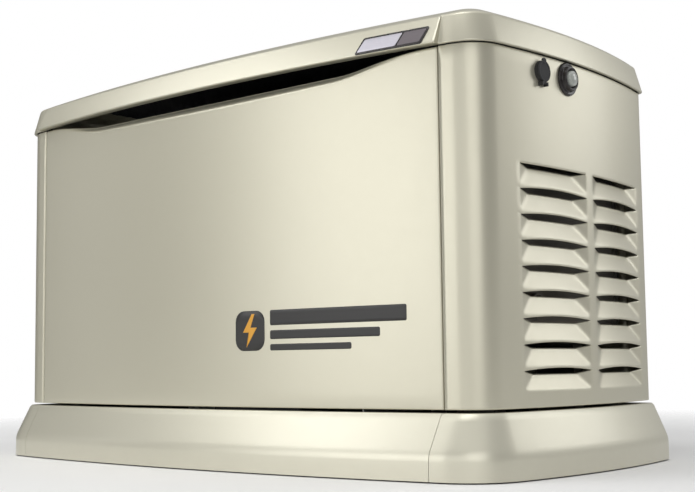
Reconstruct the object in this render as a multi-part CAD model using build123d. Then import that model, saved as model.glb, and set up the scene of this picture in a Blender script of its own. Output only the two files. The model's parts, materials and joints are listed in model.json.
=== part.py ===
from build123d import *

import math
import os

# Home standby generator, in millimetres: +X along its length, -Y to the service side, +Z up.
# The origin is the middle of the base's underside.

# Body in plan: bowed front and ends, flat back, rounded corners
FRONT_Y = 276.5          # crown of the front arc
FRONT_BOW = 31.7         # how far the front arc falls back from its crown to the seams
END_X = 580.0            # crown of each end arc
END_BOW = 30.7
END_HALF = 285.0
REAR_Y = 285.0
SEAM_X = 494.0           # seams between the front panel and the end panels
CORNER_R = 57.0
REAR_CORNER_R = 12.0

# Base in plan, at the floor
BASE_FRONT_Y = 319.0
BASE_FRONT_BOW = 34.2
BASE_END_X = 609.0
BASE_END_BOW = 36.0
BASE_REAR_Y = 319.0
BASE_CORNER_R = 95.0
BASE_REAR_CORNER_R = 44.0

# Heights
KICK_Z = 39.0            # top of the base's upright band
TRAY_Z = 96.0            # top of the tray's flange
BASE_Z = 99.0            # top of the base
PANEL_Z0 = 100.5
PANEL_Z1 = 648.0
LID_Z0 = 649.5
SHOULDER_Z = 697.0
CROWN_Z0 = 708.0
CROWN_Z = 732.0

# Sheet metal and gaps
SHEET = 2.0
LID_WALL = 2.5
FASCIA_WALL = 3.0
SEAM = 0.8

# Lid, as offsets from the body's plan
LID_EDGE = 7.0
SHOULDER_IN = -6.0
CROWN_IN = -30.0
VISOR_EDGE = 20.0
VISOR_TOP = -4.0
VISOR_TOP_Z = 695.0
VISOR_X = 499.0

# Lid hinges
HINGE_Y = 298.0
HINGE_Z = 643.0
HINGE_X = 330.0
PIN_R = 2.5
FIT = 0.05               # radial clearance of running fits

# Louvers pressed into the end panels and the back
LOUVER_ROWS = 9
LOUVER_PITCH = 39.35
LOUVER_TOP_Z = 473.5
LOUVER_H = 33.0
LOUVER_DEPTH = 11.0
LOUVER_END = 33.0        # run of the sloping end facets
LOUVER_LIP = 3.7         # height of the throat at the back
END_COLUMNS = [(-148.0, 37.0), (57.0, 242.0)]

# Locks and shutdown switch on the ends
LOCK_Y = -88.0
LOCK_Z = 622.0
CAM_X = 534.0
SWITCH_Y = -16.0
SWITCH_Z = 621.0

# Engine and alternator on one crankshaft along X
CRANK_Y = 35.0
CRANK_Z = 280.0
SHAFT_R = 20.0
RAIL_Z0 = 46.0
RAIL_Z1 = 76.0
PORT_R = 215.0           # distance of the exhaust ports from the crankshaft
PIPE_R = 19.0
DIVIDER_X = 328.0
REAR_PIPE_Y = 187.0
FRONT_PIPE_Y = 95.0

# Controls
BOX_X0 = -20.0
BOX_X1 = 310.0
BOX_Y0 = -215.0
BOX_Y1 = -60.0
BOX_Z0 = 442.0
BOX_Z1 = 640.0
FACE_TILT = 20.0         # degrees
BUTTON_R = 8.0
BUTTON_XS = {"auto_button": 205.0, "off_button": 235.0, "manual_button": 265.0}

FAR = 1000.0


def block(x0, x1, y0, y1, z0, z1):
    return Pos((x0 + x1) / 2, (y0 + y1) / 2, (z0 + z1) / 2) * Box(x1 - x0, y1 - y0, z1 - z0)


def rod(start, end, radius):
    start, end = Vector(*start), Vector(*end)
    run = end - start
    plane = Plane(origin=start, z_dir=run.normalized())
    return plane * Cylinder(radius, run.length, align=(Align.CENTER, Align.CENTER, Align.MIN))


def arc_radius(half_width, bow):
    return (half_width ** 2 + bow ** 2) / (2 * bow)


FRONT_R = arc_radius(SEAM_X, FRONT_BOW)
END_R = arc_radius(END_HALF, END_BOW)
BASE_FRONT_R = arc_radius(SEAM_X, BASE_FRONT_BOW)
BASE_END_R = arc_radius(BASE_REAR_Y, BASE_END_BOW)


# A plan outline: front arc, end arcs and straight back, moved outwards by offset
def plan_face(front, front_r, end, end_r, rear, corner, rear_corner, offset):
    front, front_r, end, end_r, rear = (v + offset for v in (front, front_r, end, end_r, rear))
    front_centre = front_r - front
    end_centre = end - end_r
    x, y = end, -front
    for _ in range(40):
        y = front_centre - math.sqrt(front_r ** 2 - x ** 2)
        x = end_centre + math.sqrt(end_r ** 2 - y ** 2)
    rear_x = end_centre + math.sqrt(end_r ** 2 - rear ** 2)
    edges = ThreePointArc((-x, y), (0, -front), (x, y))
    edges += ThreePointArc((x, y), (end, 0), (rear_x, rear))
    edges += Line((rear_x, rear), (-rear_x, rear))
    edges += ThreePointArc((-rear_x, rear), (-end, 0), (-x, y))
    face = make_face(edges)
    face = fillet([v for v in face.vertices() if v.Y < 0], max(corner + offset, 2))
    return fillet([v for v in face.vertices() if v.Y > rear - 0.01], max(rear_corner + offset, 2))


def body_plan(offset=0.0):
    return plan_face(FRONT_Y, FRONT_R, END_X, END_R, REAR_Y, CORNER_R, REAR_CORNER_R, offset)


def base_plan(offset=0.0):
    return plan_face(BASE_FRONT_Y, BASE_FRONT_R, BASE_END_X, BASE_END_R, BASE_REAR_Y,
                     BASE_CORNER_R, BASE_REAR_CORNER_R, offset)


def prism(face, z0, z1):
    return Pos(0, 0, z0) * extrude(face, amount=z1 - z0)


def body_prism(offset, z0, z1):
    return prism(body_plan(offset), z0, z1)


def body_ring(outer, inner, z0, z1):
    return body_prism(outer, z0, z1) - body_prism(inner, z0, z1)


def taper(face0, z0, face1, z1):
    return loft([Pos(0, 0, z0) * face0, Pos(0, 0, z1) * face1], ruled=True)


def end_x(y, offset=0.0):
    return END_X - END_R + math.sqrt((END_R + offset) ** 2 - y ** 2)


def flip(solid):
    return mirror(solid, about=Plane.YZ)


# ---- base ----

def fascia_shell():
    outer = prism(base_plan(), 0.5, KICK_Z) + taper(base_plan(), KICK_Z, body_plan(LID_EDGE), BASE_Z)
    wall = FASCIA_WALL
    inner = prism(base_plan(-wall), 0, KICK_Z)
    inner += taper(base_plan(-wall), KICK_Z, body_plan(LID_EDGE - wall), TRAY_Z)
    return outer - inner - body_prism(-12, TRAY_Z - 1, BASE_Z + 1)


def fascias():
    shell = fascia_shell()
    seam = SEAM_X - SEAM / 2
    side = SEAM_X + SEAM / 2
    return {
        "front_fascia": shell & block(-seam, seam, -FAR, 0, 0, FAR),
        "rear_fascia": shell & block(-seam, seam, 0, FAR, 0, FAR),
        "left_fascia": shell & block(-FAR, -side, -FAR, FAR, 0, FAR),
        "right_fascia": shell & block(side, FAR, -FAR, FAR, 0, FAR),
    }


def base_tray():
    floor = 6.0
    tray = body_prism(-24, 0, floor) + body_ring(-24, -28, 0, TRAY_Z)
    tray += body_ring(-3, -30, TRAY_Z - 4, TRAY_Z)
    for x in (-450, 450):
        for y in (-190, 190):
            tray -= rod((x, y, -1), (x, y, floor + 1), 7)
    return tray


# ---- louvers ----

def louver_frustum(origin, along, inward, width, top, grow):
    def rect(depth, inset, height):
        points = [(inset, 0), (width - inset, 0), (width - inset, -height), (inset, -height)]
        return [origin + along * u + inward * depth + Vector(0, 0, top + z) for u, z in points]

    run = LOUVER_END
    outer = make_face(Polyline(*rect(0, -grow, LOUVER_H + 1.5 * grow), close=True))
    inner = make_face(Polyline(*rect(LOUVER_DEPTH + grow, run - grow, LOUVER_LIP + grow), close=True))
    proud = make_face(Polyline(*rect(-8, -grow, LOUVER_H + 1.5 * grow), close=True))
    return loft([outer, inner], ruled=True) + loft([proud, outer], ruled=True)


# Presses one column of louvers: a hip-shaped hollow each, open at the top behind the sheet
def press_louvers(panel, stock, origin, along, inward, width, rows, top_z):
    tops = [top_z - i * LOUVER_PITCH for i in range(rows)]
    shells = [louver_frustum(origin, along, inward, width, top, SHEET) & stock for top in tops]
    hollows = [louver_frustum(origin, along, inward, width, top, 0) for top in tops]
    panel = panel + shells
    for top in tops:
        start = Vector(0, 0, top - LOUVER_LIP) + origin + along * (width / 2) + inward * (LOUVER_DEPTH + 1)
        hollows.append(Plane(origin=start, x_dir=along, z_dir=Vector(0, 0, 1)) * Box(
            width - 2 * LOUVER_END, 4, LOUVER_LIP, align=(Align.CENTER, Align.CENTER, Align.MIN)))
    return panel - hollows


# ---- cabinet ----

def end_panel(shutdown):
    panel = body_ring(0, -SHEET, PANEL_Z0, PANEL_Z1)
    panel += body_ring(-1, -26, BASE_Z, BASE_Z + 2.5)
    panel += body_ring(-1, -24, PANEL_Z1 - SHEET, PANEL_Z1)
    edge = SEAM_X + 0.5
    panel = panel & block(edge, FAR, -FAR, FAR, 0, FAR)
    jamb = block(edge, edge + SHEET, -FAR, -215, BASE_Z, PANEL_Z1)
    panel += jamb & body_prism(-0.5, BASE_Z, PANEL_Z1)
    stock = body_prism(0, 0, FAR)
    for y0, y1 in END_COLUMNS:
        start = Vector(end_x(y0), y0, 0)
        chord = Vector(end_x(y1), y1, 0) - start
        along = chord.normalized()
        inward = Vector(-along.Y, along.X, 0)
        panel = press_louvers(panel, stock, start, along, inward, chord.length, LOUVER_ROWS, LOUVER_TOP_Z)
    panel -= rod((500, LOCK_Y, LOCK_Z), (600, LOCK_Y, LOCK_Z), 11.2)
    if shutdown:
        panel -= rod((500, SWITCH_Y, SWITCH_Z), (600, SWITCH_Y, SWITCH_Z), 20.2)
    for z in SCREW_ZS:
        panel -= rod((SCREW_X, 270, z), (SCREW_X, 290, z), 3.2)
    return panel


SCREW_X = 502.0
SCREW_ZS = (140.0, 300.0, 460.0, 610.0)
FUEL_X = 105.0
FUEL_Z = 140.0
CONDUIT_X = -60.0
CONDUIT_Z = 140.0
CONDUIT_R = 17.25


def rear_panel():
    y1 = REAR_Y - SHEET
    panel = block(-511, 511, y1 - SHEET, y1, BASE_Z + 3, PANEL_Z1 - 3)
    stock = block(-511, 511, 0, y1, 0, FAR)
    for x1 in (430.0, -150.0):
        panel = press_louvers(panel, stock, Vector(x1, y1, 0), Vector(-1, 0, 0), Vector(0, -1, 0), 280,
                              6, LOUVER_TOP_Z)
    panel -= rod((FUEL_X, 270, FUEL_Z), (FUEL_X, 300, FUEL_Z), 18)
    panel -= rod((CONDUIT_X, 270, CONDUIT_Z), (CONDUIT_X, 300, CONDUIT_Z), CONDUIT_R)
    for side in (-1, 1):
        for z in SCREW_ZS:
            panel -= rod((side * SCREW_X, 270, z), (side * SCREW_X, 300, z), 3.2)
    return panel


def panel_screws():
    screws = []
    for side in (-1, 1):
        for z in SCREW_ZS:
            x = side * SCREW_X
            screw = rod((x, 272, z), (x, REAR_Y, z), 3) + rod((x, REAR_Y, z), (x, REAR_Y + 3.5, z), 6)
            recess = Plane(origin=(x, REAR_Y + 1.5, z), z_dir=(0, 1, 0)) * extrude(RegularPolygon(3, 6), 3)
            screws.append(screw - recess)
    return Compound(children=screws)


def muffler_divider():
    sheet = block(DIVIDER_X, DIVIDER_X + SHEET, -234, 268, TRAY_Z, 640)
    for y in (FRONT_PIPE_Y, REAR_PIPE_Y):
        sheet -= rod((300, y, PIPE_Z), (360, y, PIPE_Z), PIPE_R + 2)
    return sheet - rod((300, CRANK_Y, CRANK_Z), (360, CRANK_Y, CRANK_Z), 60)


def lid_seal():
    ring = body_ring(-2, -16, PANEL_Z1, PANEL_Z1 + 8)
    return ring & (block(-FAR, -SEAM_X - 2, -FAR, FAR, 0, FAR) + block(SEAM_X + 2, FAR, -FAR, FAR, 0, FAR))


def front_panel():
    edge = SEAM_X - 0.5
    flange = 22.0
    notch = 350.0
    ramp = 400.0
    top = 632.0

    # Solid within the panel's outer surface, moved inwards by inset
    def bulk(inset, depth):
        solid = body_ring(-inset, -flange - depth, PANEL_Z0 + inset, PANEL_Z1 - inset)
        solid = solid & block(-edge + inset, edge - inset, -FAR, -100, 0, FAR)
        # The finger scoop is a sloping cut that leaves a lens-shaped hollow in the bowed face
        scoop = Plane(origin=(0, -FRONT_Y, 615), z_dir=(0, -0.8, 0.6)).offset(-inset)
        solid -= scoop * Pos(0, 0, 100) * Box(900, 400, 200)
        drop = Polyline((-ramp, 660 - inset), (-ramp, PANEL_Z1 - inset), (-notch, top - inset),
                        (notch, top - inset), (ramp, PANEL_Z1 - inset), (ramp, 660 - inset), close=True)
        return solid - Plane.XZ.offset(-FAR / 2) * extrude(make_face(drop), FAR, both=True)

    panel = bulk(0, 0) - bulk(SHEET, 10)
    for x in (-300, 300):
        panel += block(x - 15, x + 15, -260, -246, BASE_Z, PANEL_Z0 + 0.5)
    return panel


def front_panel_liner():
    liner = body_ring(-SHEET, -SHEET - 10, 130, 600)
    return liner & block(-470, 470, -FAR, -200, 0, FAR)


# ---- lid ----

CROWN_HALF_X = 550.0
CROWN_HALF_Y = 251.0
CROWN_MID_Y = 4.0
CROWN_STEP = 0.4         # small bead where the crown meets the shoulder


# Everything under the crown's pillow-shaped surface
def under_crown(inset):
    def height(x, y):
        across = 1 - ((y - CROWN_MID_Y) / CROWN_HALF_Y) ** 2
        along = 1 - (x / CROWN_HALF_X) ** 2
        return CROWN_Z0 + CROWN_STEP - inset + (CROWN_Z - CROWN_Z0 - CROWN_STEP) * across * along

    steps_x = [-600 + 150 * i for i in range(9)]
    steps_y = [-320 + 80 * i for i in range(9)]
    grid = [[Vector(x, y, height(x, y)) for y in steps_y] for x in steps_x]
    return extrude(Face.make_surface_from_array_of_points(grid), amount=-90, dir=(0, 0, 1))


def lid_bulk(inset, z0):
    lean = (SHOULDER_IN - LID_EDGE) / (SHOULDER_Z - LID_Z0)
    skirt = taper(body_plan(LID_EDGE - inset + lean * (z0 - LID_Z0)), z0,
                  body_plan(SHOULDER_IN - inset), SHOULDER_Z)
    shoulder = taper(body_plan(SHOULDER_IN - inset), SHOULDER_Z,
                     body_plan(CROWN_IN - inset), CROWN_Z0 - inset)
    crown = body_prism(CROWN_IN - inset, SHOULDER_Z - 2, CROWN_Z + 5) & under_crown(inset)
    visor_lean = (VISOR_TOP - VISOR_EDGE) / (VISOR_TOP_Z - LID_Z0)
    visor = taper(body_plan(VISOR_EDGE - inset + visor_lean * (z0 - LID_Z0)), z0,
                  body_plan(VISOR_TOP - inset), VISOR_TOP_Z)
    visor = visor & block(-VISOR_X + inset, VISOR_X - inset, -FAR, -100, 0, FAR)
    return skirt + shoulder + crown + visor


def lid():
    shell = lid_bulk(0, LID_Z0) - lid_bulk(LID_WALL, LID_Z0 - 2)
    ledge = body_ring(3, -16, PANEL_Z1 + 8, PANEL_Z1 + 10)
    ledge = ledge & (block(-FAR, -SEAM_X, -FAR, FAR, 0, FAR) + block(SEAM_X, FAR, -FAR, FAR, 0, FAR))
    return shell + ledge


def lid_liner():
    return lid_bulk(LID_WALL, LID_Z0) & block(-480, 480, -200, 225, 700, FAR)


BADGE_CORNERS = [(357, 653), (368, 678), (485, 678), (477, 653)]


def lid_badge():
    skin = taper(body_plan(VISOR_EDGE + 1.8), LID_Z0, body_plan(VISOR_TOP + 1.8), VISOR_TOP_Z)
    skin -= taper(body_plan(VISOR_EDGE), LID_Z0, body_plan(VISOR_TOP), VISOR_TOP_Z)
    outline = make_face(Polyline(*BADGE_CORNERS, close=True))
    outline = fillet(outline.vertices(), 4)
    return skin & (Plane.XZ.offset(100) * extrude(outline, 300))


def hinge_brackets():
    parts = []
    for x in (-HINGE_X, HINGE_X):
        leaf = block(x - 30, x + 30, REAR_Y - SHEET, REAR_Y + 2, 590, 640)
        for side in (-1, 1):
            a, b = sorted((x + side * 15, x + side * 30))
            leaf += block(a, b, REAR_Y - SHEET, HINGE_Y, HINGE_Z - 6, HINGE_Z - 1)
            leaf += rod((a, HINGE_Y, HINGE_Z), (b, HINGE_Y, HINGE_Z), 6)
        leaf -= rod((x - 31, HINGE_Y, HINGE_Z), (x + 31, HINGE_Y, HINGE_Z), PIN_R)
        pin = rod((x - 32, HINGE_Y, HINGE_Z), (x + 32, HINGE_Y, HINGE_Z), PIN_R)
        parts += [leaf, pin]
    return Compound(children=parts)


def lid_hinge_leaves():
    skirt = taper(body_plan(LID_EDGE), LID_Z0, body_plan(SHOULDER_IN), SHOULDER_Z)
    plate = taper(body_plan(LID_EDGE + 3), LID_Z0, body_plan(SHOULDER_IN + 3), SHOULDER_Z) - skirt
    parts = []
    for x in (-HINGE_X, HINGE_X):
        leaf = plate & block(x - 14, x + 14, 200, FAR, LID_Z0 + 1, 684)
        leaf += block(x - 14, x + 14, 288, HINGE_Y + 4, HINGE_Z + 1, LID_Z0 + 4) - skirt
        leaf += rod((x - 14, HINGE_Y, HINGE_Z), (x + 14, HINGE_Y, HINGE_Z), 6)
        parts.append(leaf - rod((x - 15, HINGE_Y, HINGE_Z), (x + 15, HINGE_Y, HINGE_Z), PIN_R + FIT))
    return Compound(children=parts)


def lock_keepers():
    keeper = block(CAM_X - 6, 574, -70, -48, PANEL_Z1 + 10, PANEL_Z1 + 13)
    keeper += block(CAM_X - 6, CAM_X - 3, -70, -48, LOCK_Z - 14, PANEL_Z1 + 11)
    keeper += block(CAM_X - 6, CAM_X + 6, -70, -48, LOCK_Z - 14, LOCK_Z - 10)
    return Compound(children=[keeper, flip(keeper)])


# ---- locks and shutdown switch ----

LOCK_FACE_X = 581.0
COVER_AXIS_X = 583.0
COVER_AXIS_Z = LOCK_Z - 20.0


def lock_housing():
    inside = body_prism(0, 0, FAR)
    flange = rod((560, LOCK_Y, LOCK_Z), (LOCK_FACE_X, LOCK_Y, LOCK_Z), 17) - inside
    housing = flange + rod((546, LOCK_Y, LOCK_Z), (LOCK_FACE_X, LOCK_Y, LOCK_Z), 11)
    nut = Plane(origin=(560, LOCK_Y, LOCK_Z), z_dir=(1, 0, 0)) * extrude(RegularPolygon(16, 6), 8)
    housing += nut
    for side in (-1, 1):
        a, b = sorted((LOCK_Y + side * 5.5, LOCK_Y + side * 8))
        ear = block(570, COVER_AXIS_X + 2.5, a, b, COVER_AXIS_Z - 3, COVER_AXIS_Z + 3) - inside
        housing += ear
    housing -= rod((540, LOCK_Y, LOCK_Z), (590, LOCK_Y, LOCK_Z), 8 + FIT)
    pin = rod((COVER_AXIS_X, LOCK_Y - 8, COVER_AXIS_Z), (COVER_AXIS_X, LOCK_Y + 8, COVER_AXIS_Z), 1.0)
    return housing + pin


def lock_core():
    core = rod((CAM_X, LOCK_Y, LOCK_Z), (LOCK_FACE_X - 0.5, LOCK_Y, LOCK_Z), 8)
    core -= block(LOCK_FACE_X - 6, LOCK_FACE_X, LOCK_Y - 1, LOCK_Y + 1, LOCK_Z - 4.5, LOCK_Z + 4.5)
    cam = block(CAM_X, CAM_X + 4, LOCK_Y - 7, LOCK_Y + 7, LOCK_Z, LOCK_Z + 27)
    cam += rod((CAM_X, LOCK_Y, LOCK_Z + 27), (CAM_X + 4, LOCK_Y, LOCK_Z + 27), 7)
    return core + cam + rod((CAM_X, LOCK_Y, LOCK_Z), (CAM_X + 4, LOCK_Y, LOCK_Z), 10)


def lock_cover():
    x0 = LOCK_FACE_X + 0.4
    cover = rod((x0, LOCK_Y, LOCK_Z), (x0 + 3.2, LOCK_Y, LOCK_Z), 17)
    cover += block(x0, x0 + 3.2, LOCK_Y - 5, LOCK_Y + 5, LOCK_Z, LOCK_Z + 21)
    cover += block(x0 + 0.6, x0 + 3.2, LOCK_Y - 4.5, LOCK_Y + 4.5, COVER_AXIS_Z, LOCK_Z)
    axis_y = (LOCK_Y - 4.5, LOCK_Y + 4.5)
    lug = rod((COVER_AXIS_X, axis_y[0], COVER_AXIS_Z), (COVER_AXIS_X, axis_y[1], COVER_AXIS_Z), 2)
    bore = rod((COVER_AXIS_X, axis_y[0], COVER_AXIS_Z), (COVER_AXIS_X, axis_y[1], COVER_AXIS_Z), 1 + FIT)
    return cover + lug - bore


def shutdown_bezel():
    inside = body_prism(0, 0, FAR)

    def along(x0, x1, radius):
        return rod((x0, SWITCH_Y, SWITCH_Z), (x1, SWITCH_Y, SWITCH_Z), radius)

    bezel = (along(560, 585, 27) - inside) + along(545, 591, 20)
    nut = Plane(origin=(566, SWITCH_Y, SWITCH_Z), z_dir=(1, 0, 0)) * extrude(RegularPolygon(24, 6), 8)
    bezel += nut
    return bezel - along(552, 600, 13.3)


def shutdown_button():
    y, z = SWITCH_Y, SWITCH_Z
    button = rod((558, y, z), (595, y, z), 13)
    return fillet(button.faces().sort_by(Axis.X)[-1].edges(), 5)


# ---- lid stay ----

STAY_X = -518.0
STAY_Y = 110.0
STAY_Z = 656.0
STAY_L = 255.0


def stay_bracket():
    ear_x = STAY_X - 7.3
    bracket = block(-558, ear_x + 3, STAY_Y - 12, STAY_Y + 12, PANEL_Z1, PANEL_Z1 + 2)
    bracket += block(ear_x, ear_x + 3, STAY_Y - 8, STAY_Y + 8, PANEL_Z1, STAY_Z + 8)
    bracket += rod((ear_x, STAY_Y, STAY_Z), (STAY_X + 6, STAY_Y, STAY_Z), 3)
    return bracket + rod((STAY_X + 4.5, STAY_Y, STAY_Z), (STAY_X + 6, STAY_Y, STAY_Z), 6)


def lid_stay():
    end = (STAY_X, STAY_Y - STAY_L, STAY_Z)
    stay = rod((STAY_X, STAY_Y - 4, STAY_Z), end, 3.5) + Pos(*end) * Sphere(4.5)
    stay += rod((STAY_X - 4, STAY_Y, STAY_Z), (STAY_X + 4, STAY_Y, STAY_Z), 7)
    return stay - rod((STAY_X - 9, STAY_Y, STAY_Z), (STAY_X + 9, STAY_Y, STAY_Z), 3 + FIT)


# ---- engine ----

PIPE_Z = CRANK_Z + PORT_R * math.sin(math.radians(45))


def on_crank(x0, x1, radius):
    return rod((x0, CRANK_Y, CRANK_Z), (x1, CRANK_Y, CRANK_Z), radius)


def engine_cradle():
    cradle = block(-310, 300, -30, 10, RAIL_Z0, RAIL_Z1) + block(-310, 300, 60, 100, RAIL_Z0, RAIL_Z1)
    for x in MOUNT_XS:
        cradle += block(x - 20, x + 20, -125, 200, RAIL_Z0, RAIL_Z1)
    return cradle


MOUNT_XS = (-280.0, 255.0)
MOUNT_YS = (-100.0, 175.0)


def rubber_mounts():
    mounts = []
    for x in MOUNT_XS:
        for y in MOUNT_YS:
            mount = rod((x, y, 6), (x, y, 12), 24) + rod((x, y, 12), (x, y, 40), 19)
            mounts.append(mount + rod((x, y, 40), (x, y, RAIL_Z0), 24))
    return Compound(children=mounts)


def crankcase():
    case = on_crank(-290, -50, 110) + on_crank(-325, -290, 55) + on_crank(-50, -30, 80)
    case += block(-290, -50, -45, 115, RAIL_Z1, CRANK_Z)
    for lean in (-45, 45):
        case += bank(lean, -172) * (Pos(0, 0, 60) * Box(170, 110, 120))
    case -= on_crank(-270, -70, 64)
    case -= on_crank(-330, -20, SHAFT_R + FIT)
    case += rod((DIP_X, DIP_Y, CRANK_Z), (DIP_X, DIP_Y, 430), 9)
    return case - rod((DIP_X, DIP_Y, 255), (DIP_X, DIP_Y, 431), 6)


DIP_X = -270.0
DIP_Y = -70.0
BORE_TOP = 190.0
HEAD_TOP = 240.0
COVER_TOP = 270.0


def bank(lean, x):
    direction = (0, math.sin(math.radians(lean)), math.cos(math.radians(lean)))
    return Plane(origin=(x, CRANK_Y, CRANK_Z), x_dir=(1, 0, 0), z_dir=direction)


FRONT_CYL_X = -190.0
REAR_CYL_X = -154.0


def cylinder(lean, x):
    barrel = Pos(0, 0, 120) * Cylinder(42, BORE_TOP - 120, align=(Align.CENTER, Align.CENTER, Align.MIN))
    for i in range(6):
        fin = Pos(0, 0, 126 + 11 * i) * Box(104, 104, 3.5)
        barrel += fillet(fin.edges().filter_by(Axis.Z), 18)
    head = Pos(0, 0, (BORE_TOP + HEAD_TOP) / 2) * Box(96, 90, HEAD_TOP - BORE_TOP)
    for i in range(4):
        head += Pos(0, 0, BORE_TOP + 6 + 12 * i) * Box(106, 98, 3.5)
    return bank(lean, x) * (barrel + head)


def valve_covers():
    covers = []
    for lean, x in ((45, REAR_CYL_X), (-45, FRONT_CYL_X)):
        cover = Pos(0, 0, (HEAD_TOP + COVER_TOP) / 2) * Box(88, 78, COVER_TOP - HEAD_TOP)
        cover = fillet(cover.edges().filter_by(Axis.Z), 14)
        cover = fillet(cover.faces().sort_by(Axis.Z)[-1].edges(), 6)
        covers.append(bank(lean, x) * cover)
    return Compound(children=covers)


def spark_plugs():
    plugs = []
    for lean, x in ((45, REAR_CYL_X), (-45, FRONT_CYL_X)):
        plug = Rot(0, -90, 0) * Cylinder(5, 26, align=(Align.CENTER, Align.CENTER, Align.MIN))
        plug += Pos(-26, 0, 0) * Rot(0, -90, 0) * Cylinder(9, 30, align=(Align.CENTER, Align.CENTER, Align.MIN))
        plugs.append(bank(lean, x) * (Pos(-53, 0, 221.7) * plug))
    return Compound(children=plugs)


def intake_manifold():
    centre_z = CRANK_Z + PORT_R * math.sin(math.radians(45)) + 30
    body = block(-215, -130, CRANK_Y - 28, CRANK_Y + 28, centre_z - 40, AIRBOX_Z0)
    for lean, x in ((45, REAR_CYL_X), (-45, FRONT_CYL_X)):
        side = 1 if lean > 0 else -1
        slope = math.sin(math.radians(45))
        port = (x, CRANK_Y + side * slope * (PORT_R - 46), CRANK_Z + slope * (PORT_R + 46))
        body += rod((x, CRANK_Y + side * 10, port[2] - 6), port, 16)
        heads = bank(lean, x) * (Pos(0, 0, 215) * Box(106, 98, 60))
        body -= heads
    return body


AIRBOX_Z0 = 500.0
AIRBOX_Z1 = 560.0


def airbox():
    outer = block(-275, -75, -50, 120, AIRBOX_Z0, AIRBOX_Z1)
    outer = fillet(outer.edges().filter_by(Axis.Z), 20)
    inner = fillet(block(-271, -79, -46, 116, AIRBOX_Z0 + 4, FAR).edges().filter_by(Axis.Z), 16)
    return outer - inner


def air_filter():
    pad = fillet(block(-255, -95, -30, 100, AIRBOX_Z0 + 4, AIRBOX_Z1 - 6).edges().filter_by(Axis.Z), 12)
    well = block(-225, -125, 0, 70, AIRBOX_Z0 + 14, AIRBOX_Z1)
    return pad - well


def airbox_cover():
    cover = fillet(block(-278, -72, -53, 123, AIRBOX_Z1, AIRBOX_Z1 + 26).edges().filter_by(Axis.Z), 22)
    cover = chamfer(cover.faces().sort_by(Axis.Z)[-1].edges(), 8)
    knob = rod((-175, 35, AIRBOX_Z1 + 26), (-175, 35, AIRBOX_Z1 + 44), 17)
    return cover + knob


def oil_filter():
    y0 = -45.0
    can = rod((-85, y0, 165), (-85, y0 - 18, 165), 26) + rod((-85, y0 - 18, 165), (-85, y0 - 108, 165), 37)
    return fillet(can.faces().sort_by(Axis.Y)[0].edges(), 8)


def starter_motor():
    y, z = -104.0, 205.0
    motor = rod((-318, y, z), (-170, y, z), 33) + rod((-310, y, z + 46), (-215, y, z + 46), 15)
    motor += block(-255, -225, -80, -45, z - 15, z + 15) - on_crank(-260, -220, 110)
    return motor + rod((-170, y, z), (-160, y, z), 14)


def dipstick():
    stick = rod((DIP_X, DIP_Y, 262), (DIP_X, DIP_Y, 440), 2.5)
    stick += rod((DIP_X, DIP_Y, 430.3), (DIP_X, DIP_Y, 438), 11)
    ring = Plane(origin=(DIP_X, DIP_Y, 449), z_dir=(1, 0, 0)) * Torus(10, 3)
    return stick + ring


BLOWER_X0 = -430.0
BLOWER_X1 = -325.0


def blower_housing():
    def hull(inset, x0, x1):
        body = block(x0, x1, -125 + inset, 195 - inset, 120 + inset, 440 - inset)
        return fillet(body.edges().filter_by(Axis.X), 90 - inset)

    shell = hull(0, BLOWER_X0, BLOWER_X1) - hull(3, BLOWER_X0 + 3, BLOWER_X1 - 3)
    shell -= on_crank(BLOWER_X0 - 5, BLOWER_X0 + 5, 100)
    shell -= on_crank(BLOWER_X1 - 5, BLOWER_X1 + 5, 30)
    screen = [on_crank(BLOWER_X0, BLOWER_X0 + 3, r + 2) - on_crank(BLOWER_X0, BLOWER_X0 + 3, r)
              for r in (20, 40, 60, 80)]
    spokes = [Plane(origin=(BLOWER_X0 + 1.5, CRANK_Y, CRANK_Z), z_dir=(1, 0, 0)) * (
        Rot(0, 0, 30 * i) * Box(204, 3, 3)) for i in range(6)]
    return shell + screen + spokes


def crankshaft():
    shaft = on_crank(-415, 292, SHAFT_R)
    web_z = 55.0
    for x in (-250, -205, -140, -95):
        shaft += on_crank(x, x + 12, 58)
    cheek = block(-240, -80, CRANK_Y - 60, CRANK_Y + 60, CRANK_Z + web_z, CRANK_Z + web_z + 10)
    shaft -= cheek
    return shaft + on_crank(10, 225, 76)


def flywheel_fan():
    wheel = on_crank(-385, -350, 122) - on_crank(-400, -340, SHAFT_R)
    wheel -= on_crank(-386, -372, 105) - on_crank(-386, -372, 48)
    blades = []
    for i in range(16):
        blade = Box(26, 3, 52, align=(Align.MAX, Align.CENTER, Align.MIN))
        blade = Rot(0, 0, 30) * blade
        blades.append(Pos(-370, CRANK_Y, CRANK_Z) * (Rot(22.5 * i, 0, 0) * (Pos(0, 0, 52) * blade)))
    return wheel + blades


def alternator_housing():
    can = on_crank(-10, 250, 120) - on_crank(-40, 280, 110)
    stator = on_crank(20, 215, 110) - on_crank(0, 260, 77)
    flange = on_crank(-30, -10, 120) - on_crank(-40, 0, 80)
    feet = block(15, 215, CRANK_Y - 55, CRANK_Y + 55, RAIL_Z1, CRANK_Z) - on_crank(-50, 300, 115)
    housing = can + stator + flange + feet
    vents = [Plane(origin=(222, CRANK_Y, CRANK_Z), z_dir=(1, 0, 0)) * (
        Rot(0, 0, 45 * i + 22.5) * (Pos(115, 0, 8) * Box(40, 26, 14))) for i in range(8)]
    return housing - vents


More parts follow.
